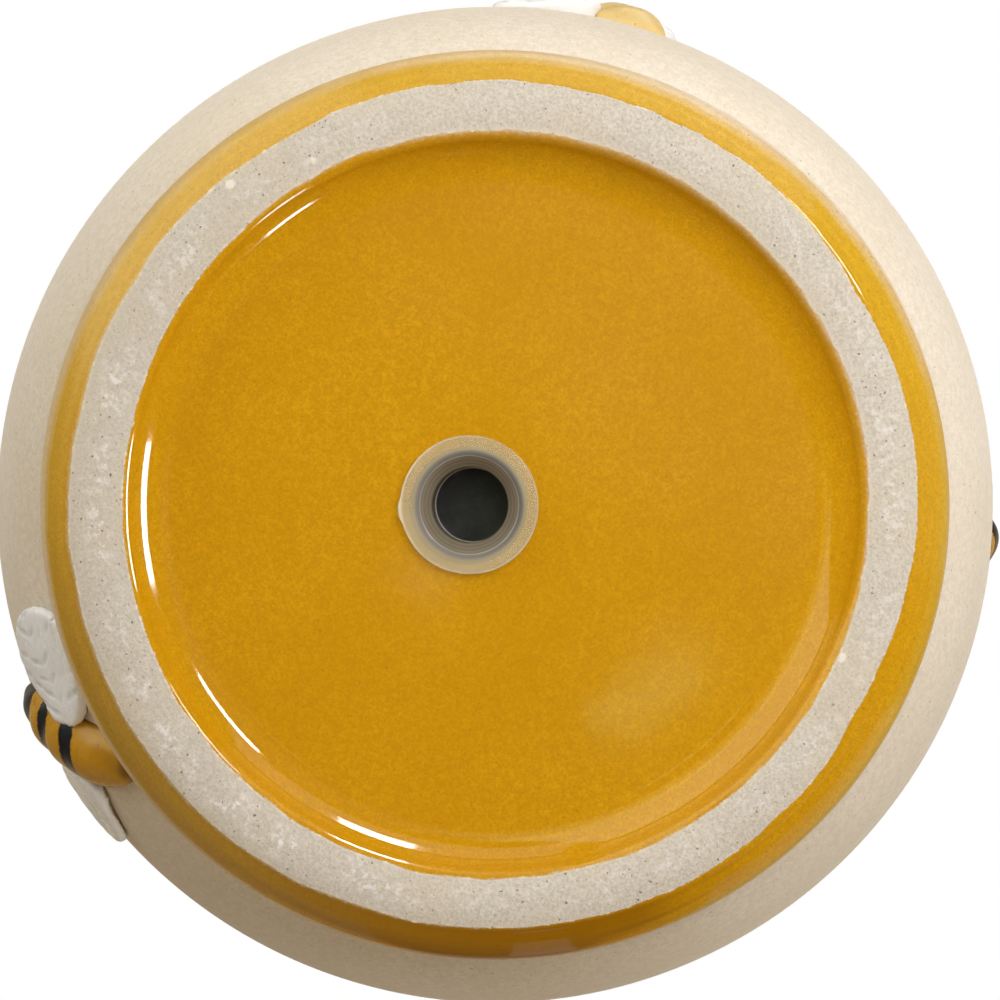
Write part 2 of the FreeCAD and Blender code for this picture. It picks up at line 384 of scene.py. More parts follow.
def speckle_group():
    """Small uneven iron specks, scattered through a glaze or clay."""
    group, given, out = new_group(
        "glaze_specks",
        [("Place", "NodeSocketVector", None), ("Spacing", "NodeSocketFloat", 0.001),
         ("Share", "NodeSocketFloat", 0.4), ("Size", "NodeSocketFloat", 0.2)],
        [("Specks", "NodeSocketFloat")],
    )
    scale = number(group, "DIVIDE", 1.0, given.outputs["Spacing"])
    wobble = node(
        group, "ShaderNodeTexNoise",
        {"Vector": given.outputs["Place"], "Scale": number(group, "MULTIPLY", scale, 3.0),
         "Detail": 1.0},
    )
    reach = number(group, "MULTIPLY", given.outputs["Spacing"], 0.55)
    shift = vector(group, "SUBTRACT", {0: wobble.outputs["Color"], 1: (0.5, 0.5, 0.5)})
    shift = vector(group, "SCALE", {0: shift, "Scale": reach})
    place = vector(group, "ADD", {0: given.outputs["Place"], 1: shift})
    cells = node(
        group, "ShaderNodeTexVoronoi",
        {"Vector": place, "Scale": scale, "Randomness": 1.0},
        voronoi_dimensions="3D", feature="F1",
    )
    draw = node(group, "ShaderNodeSeparateColor", {"Color": cells.outputs["Color"]})
    chosen = number(group, "LESS_THAN", draw.outputs["Red"], given.outputs["Share"])
    reach = number(group, "MULTIPLY", draw.outputs["Green"], given.outputs["Size"])
    reach = number(group, "ADD", reach, number(group, "MULTIPLY", given.outputs["Size"], 0.35))
    near = number(group, "DIVIDE", cells.outputs["Distance"], reach)
    spot = between(group, near, 0.45, 1.0, 1.0, 0.0)
    group.links.new(number(group, "MULTIPLY", spot, chosen), out.inputs["Specks"])
    return group


def mottle_group():
    """Slow and fine unevenness of tone, from 0 to 1 about a half."""
    group, given, out = new_group(
        "kiln_mottle",
        [("Place", "NodeSocketVector", None), ("Broad", "NodeSocketFloat", 0.02),
         ("Fine", "NodeSocketFloat", 0.001)],
        [("Broad tone", "NodeSocketFloat"), ("Fine tone", "NodeSocketFloat")],
    )
    for label, size, detail in (("Broad tone", "Broad", 3.0), ("Fine tone", "Fine", 2.0)):
        scale = number(group, "DIVIDE", 1.0, given.outputs[size])
        clouds = node(
            group, "ShaderNodeTexNoise",
            {"Vector": given.outputs["Place"], "Scale": scale, "Detail": detail, "Roughness": 0.55},
        )
        group.links.new(clouds.outputs["Fac"], out.inputs[label])
    return group


def ripple_group():
    """The slightly lumpy skin of a fired glaze, as a height."""
    group, given, out = new_group(
        "glaze_ripple",
        [("Place", "NodeSocketVector", None), ("Lump", "NodeSocketFloat", 0.006),
         ("Pinhole", "NodeSocketFloat", 0.0012), ("Pinhole share", "NodeSocketFloat", 0.16)],
        [("Height", "NodeSocketFloat")],
    )
    heights = []
    for size, share in (("Lump", 1.0), ("Pinhole", given.outputs["Pinhole share"])):
        scale = number(group, "DIVIDE", 1.0, given.outputs[size])
        skin = node(
            group, "ShaderNodeTexNoise",
            {"Vector": given.outputs["Place"], "Scale": scale, "Detail": 2.0, "Roughness": 0.5},
        )
        heights.append(number(group, "MULTIPLY", skin.outputs["Fac"], share))
    group.links.new(number(group, "ADD", *heights), out.inputs["Height"])
    return group


def grain_group():
    """Sandy fired clay: a grain height, dark grit and patches where the body has gone glassy."""
    group, given, out = new_group(
        "sandy_clay",
        [("Place", "NodeSocketVector", None), ("Grain", "NodeSocketFloat", 0.0007)],
        [("Height", "NodeSocketFloat"), ("Grit", "NodeSocketFloat"), ("Glassy", "NodeSocketFloat")],
    )
    scale = number(group, "DIVIDE", 1.0, given.outputs["Grain"])
    sand = node(
        group, "ShaderNodeTexNoise",
        {"Vector": given.outputs["Place"], "Scale": scale, "Detail": 4.0, "Roughness": 0.7},
    )
    group.links.new(sand.outputs["Fac"], out.inputs["Height"])
    grit = node(
        group, "ShaderNodeTexNoise",
        {"Vector": given.outputs["Place"], "Scale": number(group, "MULTIPLY", scale, 0.55),
         "Detail": 3.0, "Roughness": 0.75},
    )
    group.links.new(between(group, grit.outputs["Fac"], 0.60, 0.72), out.inputs["Grit"])
    areas = node(
        group, "ShaderNodeTexNoise",
        {"Vector": given.outputs["Place"], "Scale": number(group, "MULTIPLY", scale, 0.075),
         "Detail": 2.0, "Roughness": 0.5},
    )
    flakes = node(
        group, "ShaderNodeTexNoise",
        {"Vector": given.outputs["Place"], "Scale": number(group, "MULTIPLY", scale, 0.36),
         "Detail": 6.0, "Roughness": 0.78},
    )
    area = between(group, areas.outputs["Fac"], 0.38, 0.58)
    flake = between(group, flakes.outputs["Fac"], 0.47, 0.62)
    group.links.new(number(group, "MULTIPLY", area, flake), out.inputs["Glassy"])
    return group


GROUPS = {}


def effect(name):
    """One of the shared node groups, built the first time it is asked for."""
    makers = {
        "specks": speckle_group, "mottle": mottle_group,
        "ripple": ripple_group, "clay": grain_group,
    }
    if name not in GROUPS:
        GROUPS[name] = makers[name]()
    return GROUPS[name]


def mottled(tree, place, broad, fine):
    """Slow and fine unevenness for a material, at two sizes in metres."""
    mottle = use_group(tree, effect("mottle"), Place=place, Broad=broad, Fine=fine)
    return mottle.outputs["Broad tone"], mottle.outputs["Fine tone"]


def new_material(name):
    """A material with its tree and its main shader."""
    material = bpy.data.materials.new(name)
    material.use_nodes = True
    tree = material.node_tree
    shader = next(n for n in tree.nodes if n.type == "BSDF_PRINCIPLED")
    return material, tree, shader


def raised(tree, shader, height, depth):
    """A bump from a height of 0 to 1 that stands for a depth in metres."""
    bump = node(tree, "ShaderNodeBump", {"Height": height, "Strength": 1.0, "Distance": depth})
    tree.links.new(bump.outputs["Normal"], shader.inputs["Normal"])


def tinted(colour, *factors):
    """A colour with its red, green and blue scaled."""
    return tuple(c * k for c, k in zip(colour, factors))


# The pot's dust, small and large specks: spacing in metres, share of the cells, size in a cell
POT_SPECKS = ((0.00075, 0.85, 0.26), (0.0015, 0.80, 0.13), (0.0036, 0.50, 0.070))
GLAZE_IOR = 1.45


def speckled(tree, specks, colour, shares, dark):
    """A colour with specks of several sizes laid over it, each at its own strength."""
    for each, share in zip(specks, shares):
        colour = dabbed(tree, each.outputs["Specks"], share, colour, dark)
    return colour


def clouded(tree, film, colour, own, *shares):
    """A colour with thin clouds of two sizes over it, in deeper tones of its own."""
    for clouds, share, depth in zip(film, shares, (0.84, 0.78)):
        cloud = between(tree, clouds, 0.34, 0.66, 0.0, share)
        colour = tone(tree, cloud, colour, tinted(own, depth, depth - 0.03, depth - 0.10))
    return colour


def honey_colour(tree, settings, thin, broad, film, specks):
    """Honey glaze: deeper where it pools, which at the band's bottom is painted shade, paler where it
    runs out, tan and darkened by painted shade on the band's lower left, and specked on the band.
    """
    honey, pale, tan_shade = settings.honey, settings.honey_thin, settings.honey_tan_shade
    thick = number(tree, "MULTIPLY", thin, -1.0)
    dark, light = tinted(honey, 0.95, 0.93, 0.80), tinted(honey, 1.03, 1.05, 1.2)
    amber = tone(tree, between(tree, broad, 0.30, 0.70), dark, light)
    amber = clouded(tree, film, amber, honey, 0.60, 0.75)
    # Deeper honey where the band's glaze is laid thick, at its bottom, which is painted shade
    amber = tone(tree, between(tree, thick, 0.05, 0.50), amber, tinted(honey, 0.53, 0.45, 0.3))
    amber = speckled(tree, specks, amber, (0.24, 0.30, 0.42), (0.22, 0.095, 0.008))
    thinned = clouded(tree, film, pale, pale, 0.5, 0.5)
    laid = tone(tree, between(tree, thin, 0.0, 0.55), amber, thinned)
    tan_shaded = clouded(tree, film, tan_shade, tan_shade, 0.5, 0.6)
    # Darker tan honey on the band's lower left, partly painted shade
    laid = tone(tree, point_value(tree, "tan_band_shade"), laid, tan_shaded)
    specked = speckled(tree, specks, laid, (0.30, 0.42, 0.60), (0.20, 0.12, 0.03))
    return tone(tree, point_value(tree, "band_specks"), laid, specked)


def cream_colour(tree, cream, broad, film, specks):
    """Cream glaze: fine brown grit through a warm white."""
    colour = tone(tree, between(tree, broad, 0.32, 0.68), tinted(cream, 0.97, 0.95, 0.91), cream)
    colour = clouded(tree, film, colour, cream, 0.65, 0.34)
    return speckled(tree, specks, colour, (0.24, 0.52, 0.78), (0.235, 0.165, 0.095))


def clay_colour(tree, body, broad, clay, specks):
    """Bare clay: sand, warmer in places, darker at one side with painted shade, with dark grit and
    specks.
    """
    pit, grain = tinted(body, 0.82, 0.805, 0.77), tinted(body, 1.06, 1.06, 1.06)
    sand = tone(tree, between(tree, clay.outputs["Height"], 0.34, 0.66), pit, grain)
    warm = tinted(body, 1.0, 0.93, 0.76)
    sand = tone(tree, between(tree, broad, 0.42, 0.66, 0.0, 0.30), sand, warm)
    # Painted shade: the ring is darker towards its left side in the picture
    sand = tone(tree, point_value(tree, "ring_side_shade"), sand, tinted(body, 0.70, 0.68, 0.63))
    sand = dabbed(tree, clay.outputs["Grit"], 0.22, sand, (0.22, 0.17, 0.11))
    return speckled(tree, specks, sand, (0.25, 0.45, 0.50), (0.13, 0.090, 0.055))


def pot_glaze(settings):
    """Speckled cream satin, honey gloss and bare sandy clay, parted by the lines on the mesh."""
    material, tree, shader = new_material("speckled_pot_glaze")
    place = object_place(tree)
    broad, fine = mottled(tree, place, 0.022, 0.0011)
    film = mottled(tree, place, 0.0013, 0.00045)
    ripple = use_group(
        tree, effect("ripple"), Place=place, Lump=0.007, Pinhole=0.0007, Pinhole_share=0.25
    )
    clay = use_group(tree, effect("clay"), Place=place, Grain=0.00055)
    grit = use_group(tree, effect("specks"), Place=place, Spacing=0.0011, Share=0.36, Size=0.20)
    specks = [
        use_group(tree, effect("specks"), Place=place, Spacing=spacing, Share=share, Size=size)
        for spacing, share, size in POT_SPECKS
    ]

    # Ragged edges where a glaze stops
    ragged = number(tree, "MULTIPLY", number(tree, "SUBTRACT", fine, 0.5), 1.1)
    honey_line = number(tree, "ADD", point_value(tree, "honey_line"), ragged)
    honey = between(tree, honey_line, -0.10, 0.16)
    bare_line = number(tree, "ADD", point_value(tree, "bare_line"), ragged)
    blur = point_value(tree, "edge_blur")
    bare = between(tree, bare_line, number(tree, "MULTIPLY", blur, -1.0), blur)
    thin = point_value(tree, "thin_glaze_and_light")
    runs_out = between(tree, thin, 0.45, 1.0)

    # Glassy flecks, painted near white as glints, grit and dots of spilt glaze on the bare clay
    glassy_glint = number(tree, "MULTIPLY", clay.outputs["Glassy"], point_value(tree, "ring_wear_and_glint"))
    sand = clay_colour(tree, settings.clay, broad, clay, specks)
    # The glassy flecks are near white: partly their own glassy colour, partly a painted glint
    sand = dabbed(tree, glassy_glint, 0.80, sand, (0.94, 0.93, 0.97))
    sand = dabbed(tree, grit.outputs["Specks"], 0.85, sand, (0.10, 0.070, 0.045))
    spilt = number(tree, "ADD", point_value(tree, "spilt_glaze"), number(tree, "MULTIPLY", ragged, 1.1))
    sand = tone(tree, between(tree, spilt, 0.30, 0.80, 0.0, 0.8), sand, (0.88, 0.84, 0.76))

    cream = cream_colour(tree, settings.cream, broad, film, specks)
    amber = honey_colour(tree, settings, thin, broad, film, specks)
    glazed = tone(tree, honey, cream, tone(tree, runs_out, amber, cream))
    colour = tone(tree, bare, glazed, sand)
    # Painted shade on the foot ring's inner lip at the upper right, which faces away from the light
    colour = dabbed(tree, point_value(tree, "painted_lip_shade"), 0.30, colour, (0.26, 0.17, 0.06))
    tree.links.new(colour, shader.inputs["Base Color"])

    satin = between(tree, fine, 0.2, 0.8, 0.56, 0.70)
    gloss = between(tree, broad, 0.2, 0.8, 0.045, 0.075)
    gloss = level(tree, point_value(tree, "satin_glaze"), gloss, 0.26)
    gloss = level(tree, runs_out, gloss, satin)
    dry = level(tree, glassy_glint, 0.88, 0.12)
    rough = level(tree, bare, level(tree, honey, satin, gloss), dry)
    tree.links.new(rough, shader.inputs["Roughness"])

    skin = number(tree, "MULTIPLY", ripple.outputs["Height"], 0.085)
    raised(tree, shader, level(tree, bare, skin, clay.outputs["Height"]), 0.16 * MM)
    shader.inputs["IOR"].default_value = GLAZE_IOR
    return material


def bee_glaze(settings):
    """Amber gloss with dark bands, browner where it pools against the wall."""
    material, tree, shader = new_material("bee_amber_glaze")
    place = object_place(tree)
    broad, fine = mottled(tree, place, 0.006, 0.0009)
    ripple = use_group(tree, effect("ripple"), Place=place, Lump=0.003, Pinhole=0.0009)
    small = use_group(tree, effect("specks"), Place=place, Spacing=0.0012, Share=0.4, Size=0.2)
    deep = tinted(settings.amber, 0.84, 0.78, 0.7)
    amber = tone(tree, between(tree, broad, 0.30, 0.72), deep, settings.amber)
    # Paler amber on a bee, which on the middle bee is partly painted light
    amber = tone(tree, point_value(tree, "pale_amber_and_light"), amber, settings.pale)
    pooled = between(tree, point_value(tree, "pooled"), 0.25, 1.0, 0.0, 0.8)
    amber = tone(tree, pooled, amber, (0.17, 0.075, 0.012))
    amber = dabbed(tree, small.outputs["Specks"], 0.4, amber, (0.10, 0.05, 0.01))
    edge = number(tree, "MULTIPLY", number(tree, "SUBTRACT", fine, 0.5), 1.2)
    band = between(tree, number(tree, "ADD", point_value(tree, "stripe"), edge), -0.22, 0.22)
    sooty = tone(tree, between(tree, broad, 0.4, 0.7), settings.stripe, (0.020, 0.025, 0.034))
    tree.links.new(tone(tree, band, amber, sooty), shader.inputs["Base Color"])
    tree.links.new(between(tree, broad, 0.2, 0.8, 0.24, 0.36), shader.inputs["Roughness"])
    raised(tree, shader, ripple.outputs["Height"], 0.05 * MM)
    shader.inputs["IOR"].default_value = GLAZE_IOR
    return material


def wing_glaze(settings):
    """White gloss, grey with painted shade in its feathered dimples, thin and brown at the foot of the
    cut edge.
    """
    material, tree, shader = new_material("wing_white_glaze")
    place = object_place(tree)
    broad, fine = mottled(tree, place, 0.004, 0.0011)
    ripple = use_group(tree, effect("ripple"), Place=place, Lump=0.0025, Pinhole=0.0008)
    clay = use_group(tree, effect("clay"), Place=place, Grain=0.0008)
    grey = tinted(settings.wing, 0.72, 0.74, 0.77)
    # Painted shade: grey laid into the wing's dimples
    hollow = number(tree, "ADD", point_value(tree, "dimple"), number(tree, "SUBTRACT", fine, 0.5))
    white = tone(tree, between(tree, hollow, 0.15, 1.15, 0.0, 0.75), settings.wing, grey)
    white = tone(tree, between(tree, broad, 0.48, 0.75, 0.0, 0.25), white, grey)
    bare = number(tree, "ADD", point_value(tree, "cut_edge"), number(tree, "SUBTRACT", fine, 0.5))
    bare = between(tree, bare, 0.40, 0.80)
    grains = between(tree, clay.outputs["Height"], 0.3, 0.7)
    sand = tone(tree, grains, (0.24, 0.165, 0.09), settings.clay_edge)
    tree.links.new(tone(tree, bare, white, sand), shader.inputs["Base Color"])
    shine = between(tree, broad, 0.2, 0.8, 0.18, 0.34)
    tree.links.new(level(tree, bare, shine, 0.5), shader.inputs["Roughness"])
    raised(tree, shader, level(tree, bare, ripple.outputs["Height"], clay.outputs["Height"]), 0.05 * MM)
    shader.inputs["IOR"].default_value = GLAZE_IOR
    return material


def soft_plug(settings):
    """Cloudy see-through plastic: clearer in the flat, milky with painted highlights along its edges, and
    painted shade in its bore and over the drain hole's edge.
    """
    material, tree, shader = new_material("cloudy_soft_plug")
    place = object_place(tree)
    broad, fine = mottled(tree, place, 0.005, 0.0009)
    ripple = use_group(tree, effect("ripple"), Place=place, Lump=0.004, Pinhole=0.0010)
    edge, shade = point_value(tree, "painted_edge_highlight"), point_value(tree, "hole_shade")
    bore = point_value(tree, "bore_shade")
    dim = tinted(settings.tint, 0.97, 0.96, 0.94)
    haze = tone(tree, between(tree, broad, 0.3, 0.7), dim, settings.tint)
    # Painted shade in the bore and over the drain hole's edge
    haze = tone(tree, bore, haze, settings.bore)
    haze = tone(tree, shade, haze, settings.shade)
    # Painted highlights along the plug's edges, stronger towards the lower left
    haze = dabbed(tree, edge, 0.9, haze, (0.90, 0.86, 0.76))
    tree.links.new(haze, shader.inputs["Base Color"])
    cloud = between(tree, broad, 0.3, 0.7, 0.27, 0.30)
    solid = number(tree, "MAXIMUM", number(tree, "MAXIMUM", edge, shade), bore)
    cloud = level(tree, solid, cloud, 0.94)
    tree.links.new(cloud, shader.inputs["Alpha"])
    tree.links.new(between(tree, fine, 0.2, 0.8, 0.14, 0.22), shader.inputs["Roughness"])
    raised(tree, shader, ripple.outputs["Height"], 0.02 * MM)
    shader.inputs["IOR"].default_value = 1.46
    return material


def shaded_plug_end(settings):
    """The plug's closed end: painted shade, a near-black film with dusty tones and fine scuffs."""
    material, tree, shader = new_material("painted_shade_plug_end")
    place = object_place(tree)
    broad, fine = mottled(tree, place, 0.004, 0.0006)
    ripple = use_group(tree, effect("ripple"), Place=place, Lump=0.003, Pinhole=0.0007)
    film = tone(tree, between(tree, broad, 0.35, 0.75), settings.end, tinted(settings.end, 2.2, 2.2, 2.2))
    film = tone(tree, between(tree, fine, 0.55, 0.75, 0.0, 0.4), film, (0.042, 0.042, 0.052))
    tree.links.new(film, shader.inputs["Base Color"])
    tree.links.new(between(tree, broad, 0.2, 0.8, 0.30, 0.48), shader.inputs["Roughness"])
    raised(tree, shader, ripple.outputs["Height"], 0.04 * MM)
    return material


def pale_floor(settings):
    """White to the eye, and a plain pale floor that gives back even light, dim to the gloss."""
    material, tree, shader = new_material("pale_floor")
    shader.inputs["Base Color"].default_value = (0.80, 0.72, 0.58, 1.0)
    shader.inputs["Roughness"].default_value = 0.9
    path = node(tree, "ShaderNodeLightPath")
    glow = level(tree, path.outputs["Is Glossy Ray"], settings.floor_light, 0.02)
    back = node(tree, "ShaderNodeEmission", {"Color": rgba(settings.warmth), "Strength": glow})
    dim = number(tree, "MULTIPLY", path.outputs["Is Glossy Ray"], 0.8)
    lit = node(tree, "ShaderNodeMixShader", {0: dim, 1: shader.outputs["BSDF"]})
    lit = node(tree, "ShaderNodeAddShader", {0: lit.outputs["Shader"], 1: back.outputs["Emission"]})
    white = node(tree, "ShaderNodeEmission", {"Color": (1.0, 1.0, 1.0, 1.0), "Strength": 1.0})
    mix = node(
        tree, "ShaderNodeMixShader",
        {0: path.outputs["Is Camera Ray"], 1: lit.outputs["Shader"], 2: white.outputs["Emission"]},
    )
    out = next(n for n in tree.nodes if n.type == "OUTPUT_MATERIAL")
    tree.links.new(mix.outputs["Shader"], out.inputs["Surface"])
    return material


# Pot

def drain_centre():
    """The middle of the drain hole, on the foot's plane."""
    low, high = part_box("drain_plug")
    return Vector(((low.x + high.x) / 2, (low.y + high.y) / 2, 0.0))


def pot_outline():
    """The pot's section away from the drain hole: from the hole's wall out, up and back inside."""
    drain = drain_centre()
    azimuth = math.atan2(-drain.y, -drain.x)
    loops = cut_loops("pot_body", Vector((0.0, 0.0, 0.0)), azimuth)
    loop = counter_clockwise(next(points for points in loops if points[:, 0].min() > 0.0))
    hole = loop[:, 0].min()
    start = int(np.argmin(np.where(loop[:, 0] < hole + 0.01 * MM, loop[:, 1], np.inf)))
    loop = np.roll(loop, -start, axis=0)
    return np.vstack([loop, loop[:1]])


def pot_spacing(r, z):
    """Mesh spacing along the section: closest at the foot, lip, band and rim."""
    top = int(np.argmax(z))
    outside = np.arange(len(z)) < top
    close = np.where(r < 52 * MM, 1.0, 0.42)
    spacing = np.where(z < 17 * MM, close, np.where(z < 118 * MM, 0.85, 0.6))
    inside = np.where(z > 126 * MM, 0.8, 2.0)
    return np.where(outside, spacing, np.where(r < 12 * MM, 0.5, inside)) * MM


# Heights on the pot: the rolled band's ends, the line the honey runs start from, and the rim's foot
BAND_HEIGHTS = (3 * MM, 15 * MM)
HONEY_LINE = 113 * MM
RIM_FOOT = 127 * MM

# Radius of the shoulder that the honey runs over, in millimetres
SHOULDER = 80.0

# Honey runs from the neck: turn in degrees, half width and length in millimetres
HONEY_RUNS = (
    (2, 4.6, 17), (21, 3.2, 9), (44, 4.2, 13), (63, 3.6, 25), (84, 5.0, 15), (103, 3.4, 7),
    (121, 3.0, 5), (140, 4.4, 12), (160, 5.2, 29), (181, 3.8, 14), (199, 4.8, 22), (218, 3.2, 10),
    (238, 5.4, 33), (261, 3.6, 15), (279, 4.6, 24), (298, 3.4, 11), (319, 5.0, 28), (341, 3.8, 13),
)

# Where glaze creeps on to the foot ring or stops short: turn in the picture, width, millimetres
GLAZE_CREEP = ((335, 0.30, 1.1), (30, 0.22, 0.9), (180, 0.60, -0.8))

# Dots of glaze spilt on the foot ring: turn in the picture, distance out and size in millimetres
SPILT_GLAZE = ((-23.8, 64.7, 0.9), (129.4, 71.1, 1.1), (118.0, 66.5, 0.6))


def honey_run_line(angle, up_wall, start):
    """Signed distance, in millimetres, into the honey that runs down from the neck."""
    line = up_wall - start - 1.1 * waver(angle, 31, 5, 19)
    for turn, half_width, length in HONEY_RUNS:
        away = turned_from(angle, turn) * SHOULDER
        along = np.clip(up_wall, start - length + half_width, start + 12.0) - up_wall
        swell = 0.82 + 0.18 * smoothstep(start - 4.0, start - length + half_width, up_wall)
        tongue = half_width * swell - np.hypot(away, along)
        line = soft_max(line, tongue, 3.0)
    return line


class PotWall:
    """The pot's wall as rings and columns, with the places along it where its glazes change."""

    def __init__(self, columns):
        self.outline = resample(pot_outline(), pot_spacing)[:-1]
        self.r, self.z = r, z = self.outline.T
        along = along_line(self.outline) / MM
        outside = np.arange(len(r)) < int(np.argmax(z))
        foot = np.flatnonzero(z < 0.02 * MM)
        on_roll = (z > BAND_HEIGHTS[0]) & (z < BAND_HEIGHTS[1]) & (r > 70 * MM)
        band = np.flatnonzero(outside & on_roll)
        self.ring_middle = (r[foot[0]] + r[foot[-1]]) / 2
        self.lip_at, self.edge_at = along[foot[0]], along[foot[-1]]
        self.crest_at = along[band[np.argmax(r[band])]]
        self.neck_at = along[np.argmin(np.where(outside, np.abs(z - HONEY_LINE), np.inf))]
        angle = np.arange(columns) * (2.0 * math.pi / columns)
        grid = (len(r), columns)
        self.turn = np.broadcast_to(angle[None, :], grid)
        self.up = np.broadcast_to(along[:, None], grid)
        self.picture = picture_angle(self.turn)
        self.outside = outside[:, None]
        self.below = self.up < (self.crest_at + self.neck_at) / 2
        self.runs = np.where(self.outside, honey_run_line(self.turn, self.up, self.neck_at), 40.0)

    def at(self, degrees):
        """1 at a turn in the picture, and -1 opposite to it."""
        return np.cos(self.picture - math.radians(degrees))

    def facing(self, degrees, power):
        """1 at a turn in the picture, and 0 from a quarter round on."""
        return np.clip(self.at(degrees), 0.0, 1.0) ** power


def glaze_lines(wall):
    """Signed distances, in millimetres along the wall, into the honey and into the bare ring."""
    turn, up = wall.turn, wall.up
    creep = 0.34 * waver(turn, 11, 2, 9) + 0.22 * waver(turn, 12, 12, 60)
    for degrees, width, size in GLAZE_CREEP:
        creep = creep + size * bell(turned_from(wall.picture, degrees), width)
    foot_line = wall.edge_at - 0.15 - creep
    lip_line = wall.lip_at + 0.42 + 0.22 * waver(turn, 13, 3, 14) + 0.14 * waver(turn, 14, 20, 80)
    lip_line = lip_line - 0.45 * wall.facing(190, 4)
    under, over_foot = lip_line - up, up - foot_line
    low_honey = np.maximum(under, np.minimum(over_foot, wall.crest_at + 6.0 - up))
    return np.where(wall.below, low_honey, wall.runs), np.minimum(-under, -over_foot)


def band_glaze(wall):
    """How thin, satin and specked the honey is, from the band's lower edge past its crest, with painted
    light and shade in its thinness and a tan painted shade on its lower left.
    """
    turn, up, facing = wall.turn, wall.up, wall.facing
    edge_at, crest_at = wall.edge_at, wall.crest_at
    on_band = smoothstep(edge_at - 1.5, edge_at + 0.5, up)
    # The glaze does thin out towards the crest; its thinness round the band is partly painted light and
    # shade: paler on the upper right and on the left near the crest, thicker and darker at the bottom of
    # the picture
    low_band = 0.10 + 0.36 * facing(62, 1.2) + 0.22 * facing(145, 6) - 0.72 * facing(264, 4)
    low_band = low_band + 0.15 * facing(188, 4)
    high_band = 0.60 + 0.13 * facing(50, 2) + 0.15 * facing(196, 3) - 0.16 * facing(335, 2)
    high_band = high_band - 1.15 * facing(270, 16)
    late = facing(240, 1)
    to_crest = smoothstep(crest_at - 9.5 + 2.5 * late, crest_at - 5.0 + 2.0 * late, up)
    brushed = np.cos(2.3 * up + 1.6 * waver(turn, 17, 1, 6))
    brushed = brushed + np.cos(3.6 * up + 2.4 * waver(turn, 18, 1, 7))
    laid = low_band + (high_band - low_band) * to_crest
    laid = laid + 0.035 * brushed * (1.0 - to_crest) + 0.03 * waver(turn, 15, 9, 60)
    laid = on_band * laid
    # Painted light and shade: the band turns cream past its crest earlier on the upper right and later at
    # the bottom
    early = 3.0 * facing(45, 3) - 3.2 * facing(268, 8)
    past_crest = smoothstep(crest_at - 1.8 - early, crest_at + 1.6 - early, up)
    values = {
        "thin_glaze_and_light": laid + (1.0 - laid) * past_crest,
        "satin_glaze": on_band * smoothstep(-0.1, 0.5, wall.at(165)),
        # Tan honey, partly painted shade, on the band's lower left
        "tan_band_shade": on_band * facing(214, 4) * (1.0 - 0.9 * to_crest),
        "band_specks": on_band,
    }
    return {name: np.where(wall.below, value, 0.0) for name, value in values.items()}


def run_edges(wall):
    """How thin the honey lies along the edges of its runs."""
    on_runs = ~wall.below & wall.outside & (wall.z[:, None] < RIM_FOOT - 2 * MM)
    return np.where(on_runs, 0.30 * (1.0 - smoothstep(0.2, 1.6, wall.runs)), 0.0)


def ring_marks(wall):
    """How sharply glaze stops at the foot ring; where the bare ring is worn and painted with glints, its
    painted shade at one side and at the lip, and its dots of spilt glaze.
    """
    up, facing = wall.up, wall.facing
    middle = (wall.lip_at + wall.edge_at) / 2
    lip_blur = 0.40 + 0.95 * facing(55, 1.5) - 0.15 * facing(190, 2)
    foot_blur = 0.14 + 0.70 * facing(195, 1)
    # Where the glassy flecks and their painted glints show on the ring
    worn = np.clip(0.55 + 0.45 * waver(wall.turn, 16, 1, 7) + 0.30 * wall.at(190), 0.0, 1.0)
    spilt = np.zeros_like(wall.turn)
    for degrees, radius, size in SPILT_GLAZE:
        aside = turned_from(wall.picture, degrees) * radius
        spilt = np.maximum(spilt, bell(np.hypot(aside, wall.r[:, None] / MM - radius), size))
    return {
        "edge_blur": np.where(up < middle, lip_blur, foot_blur),
        "ring_wear_and_glint": bell(up - middle, 2.6) * worn,
        # Painted shade, darker towards the left of the picture, away from the lamps
        "ring_side_shade": 0.30 * facing(190, 1),
        # Painted shade on the lip's inner wall at the upper right of the picture
        "painted_lip_shade": facing(48, 2) * bell(up - wall.lip_at + 0.7, 0.9),
        "spilt_glaze": spilt,
    }


def wall_relief(wall, bare_line, settings):
    """How far the wall stands out: glaze over bare clay, swollen honey runs, a slight hand waver."""
    turn, up = wall.turn, wall.up
    relief = settings.glaze_step * (smoothstep(-0.25, 0.35, -bare_line) - 1.0)
    bead = 1.0 - np.exp(-np.clip(wall.runs, 0.0, None) / 1.3)
    fade_up = 1.0 - smoothstep(wall.neck_at + 2.0, wall.neck_at + 14.0, up)
    tongue = np.where(wall.outside & ~wall.below, bead * (0.35 + 0.65 * fade_up), 0.0)
    relief = relief + settings.drip_relief * tongue * np.where(wall.z[:, None] < RIM_FOOT, 1.0, 0.35)
    steady = smoothstep(10 * MM, 30 * MM, wall.r)[:, None]
    sway = 0.6 * waver(turn, 21, 2, 4) + 0.25 * waver(turn + up * 0.035, 22, 5, 9)
    throwing = 0.10 * np.sin(up * 0.9 + 0.7 * np.sin(turn)) * np.where(wall.outside, 0.0, 1.0)
    return relief + settings.waver * steady * (sway * 0.5 + throwing * 4.0)


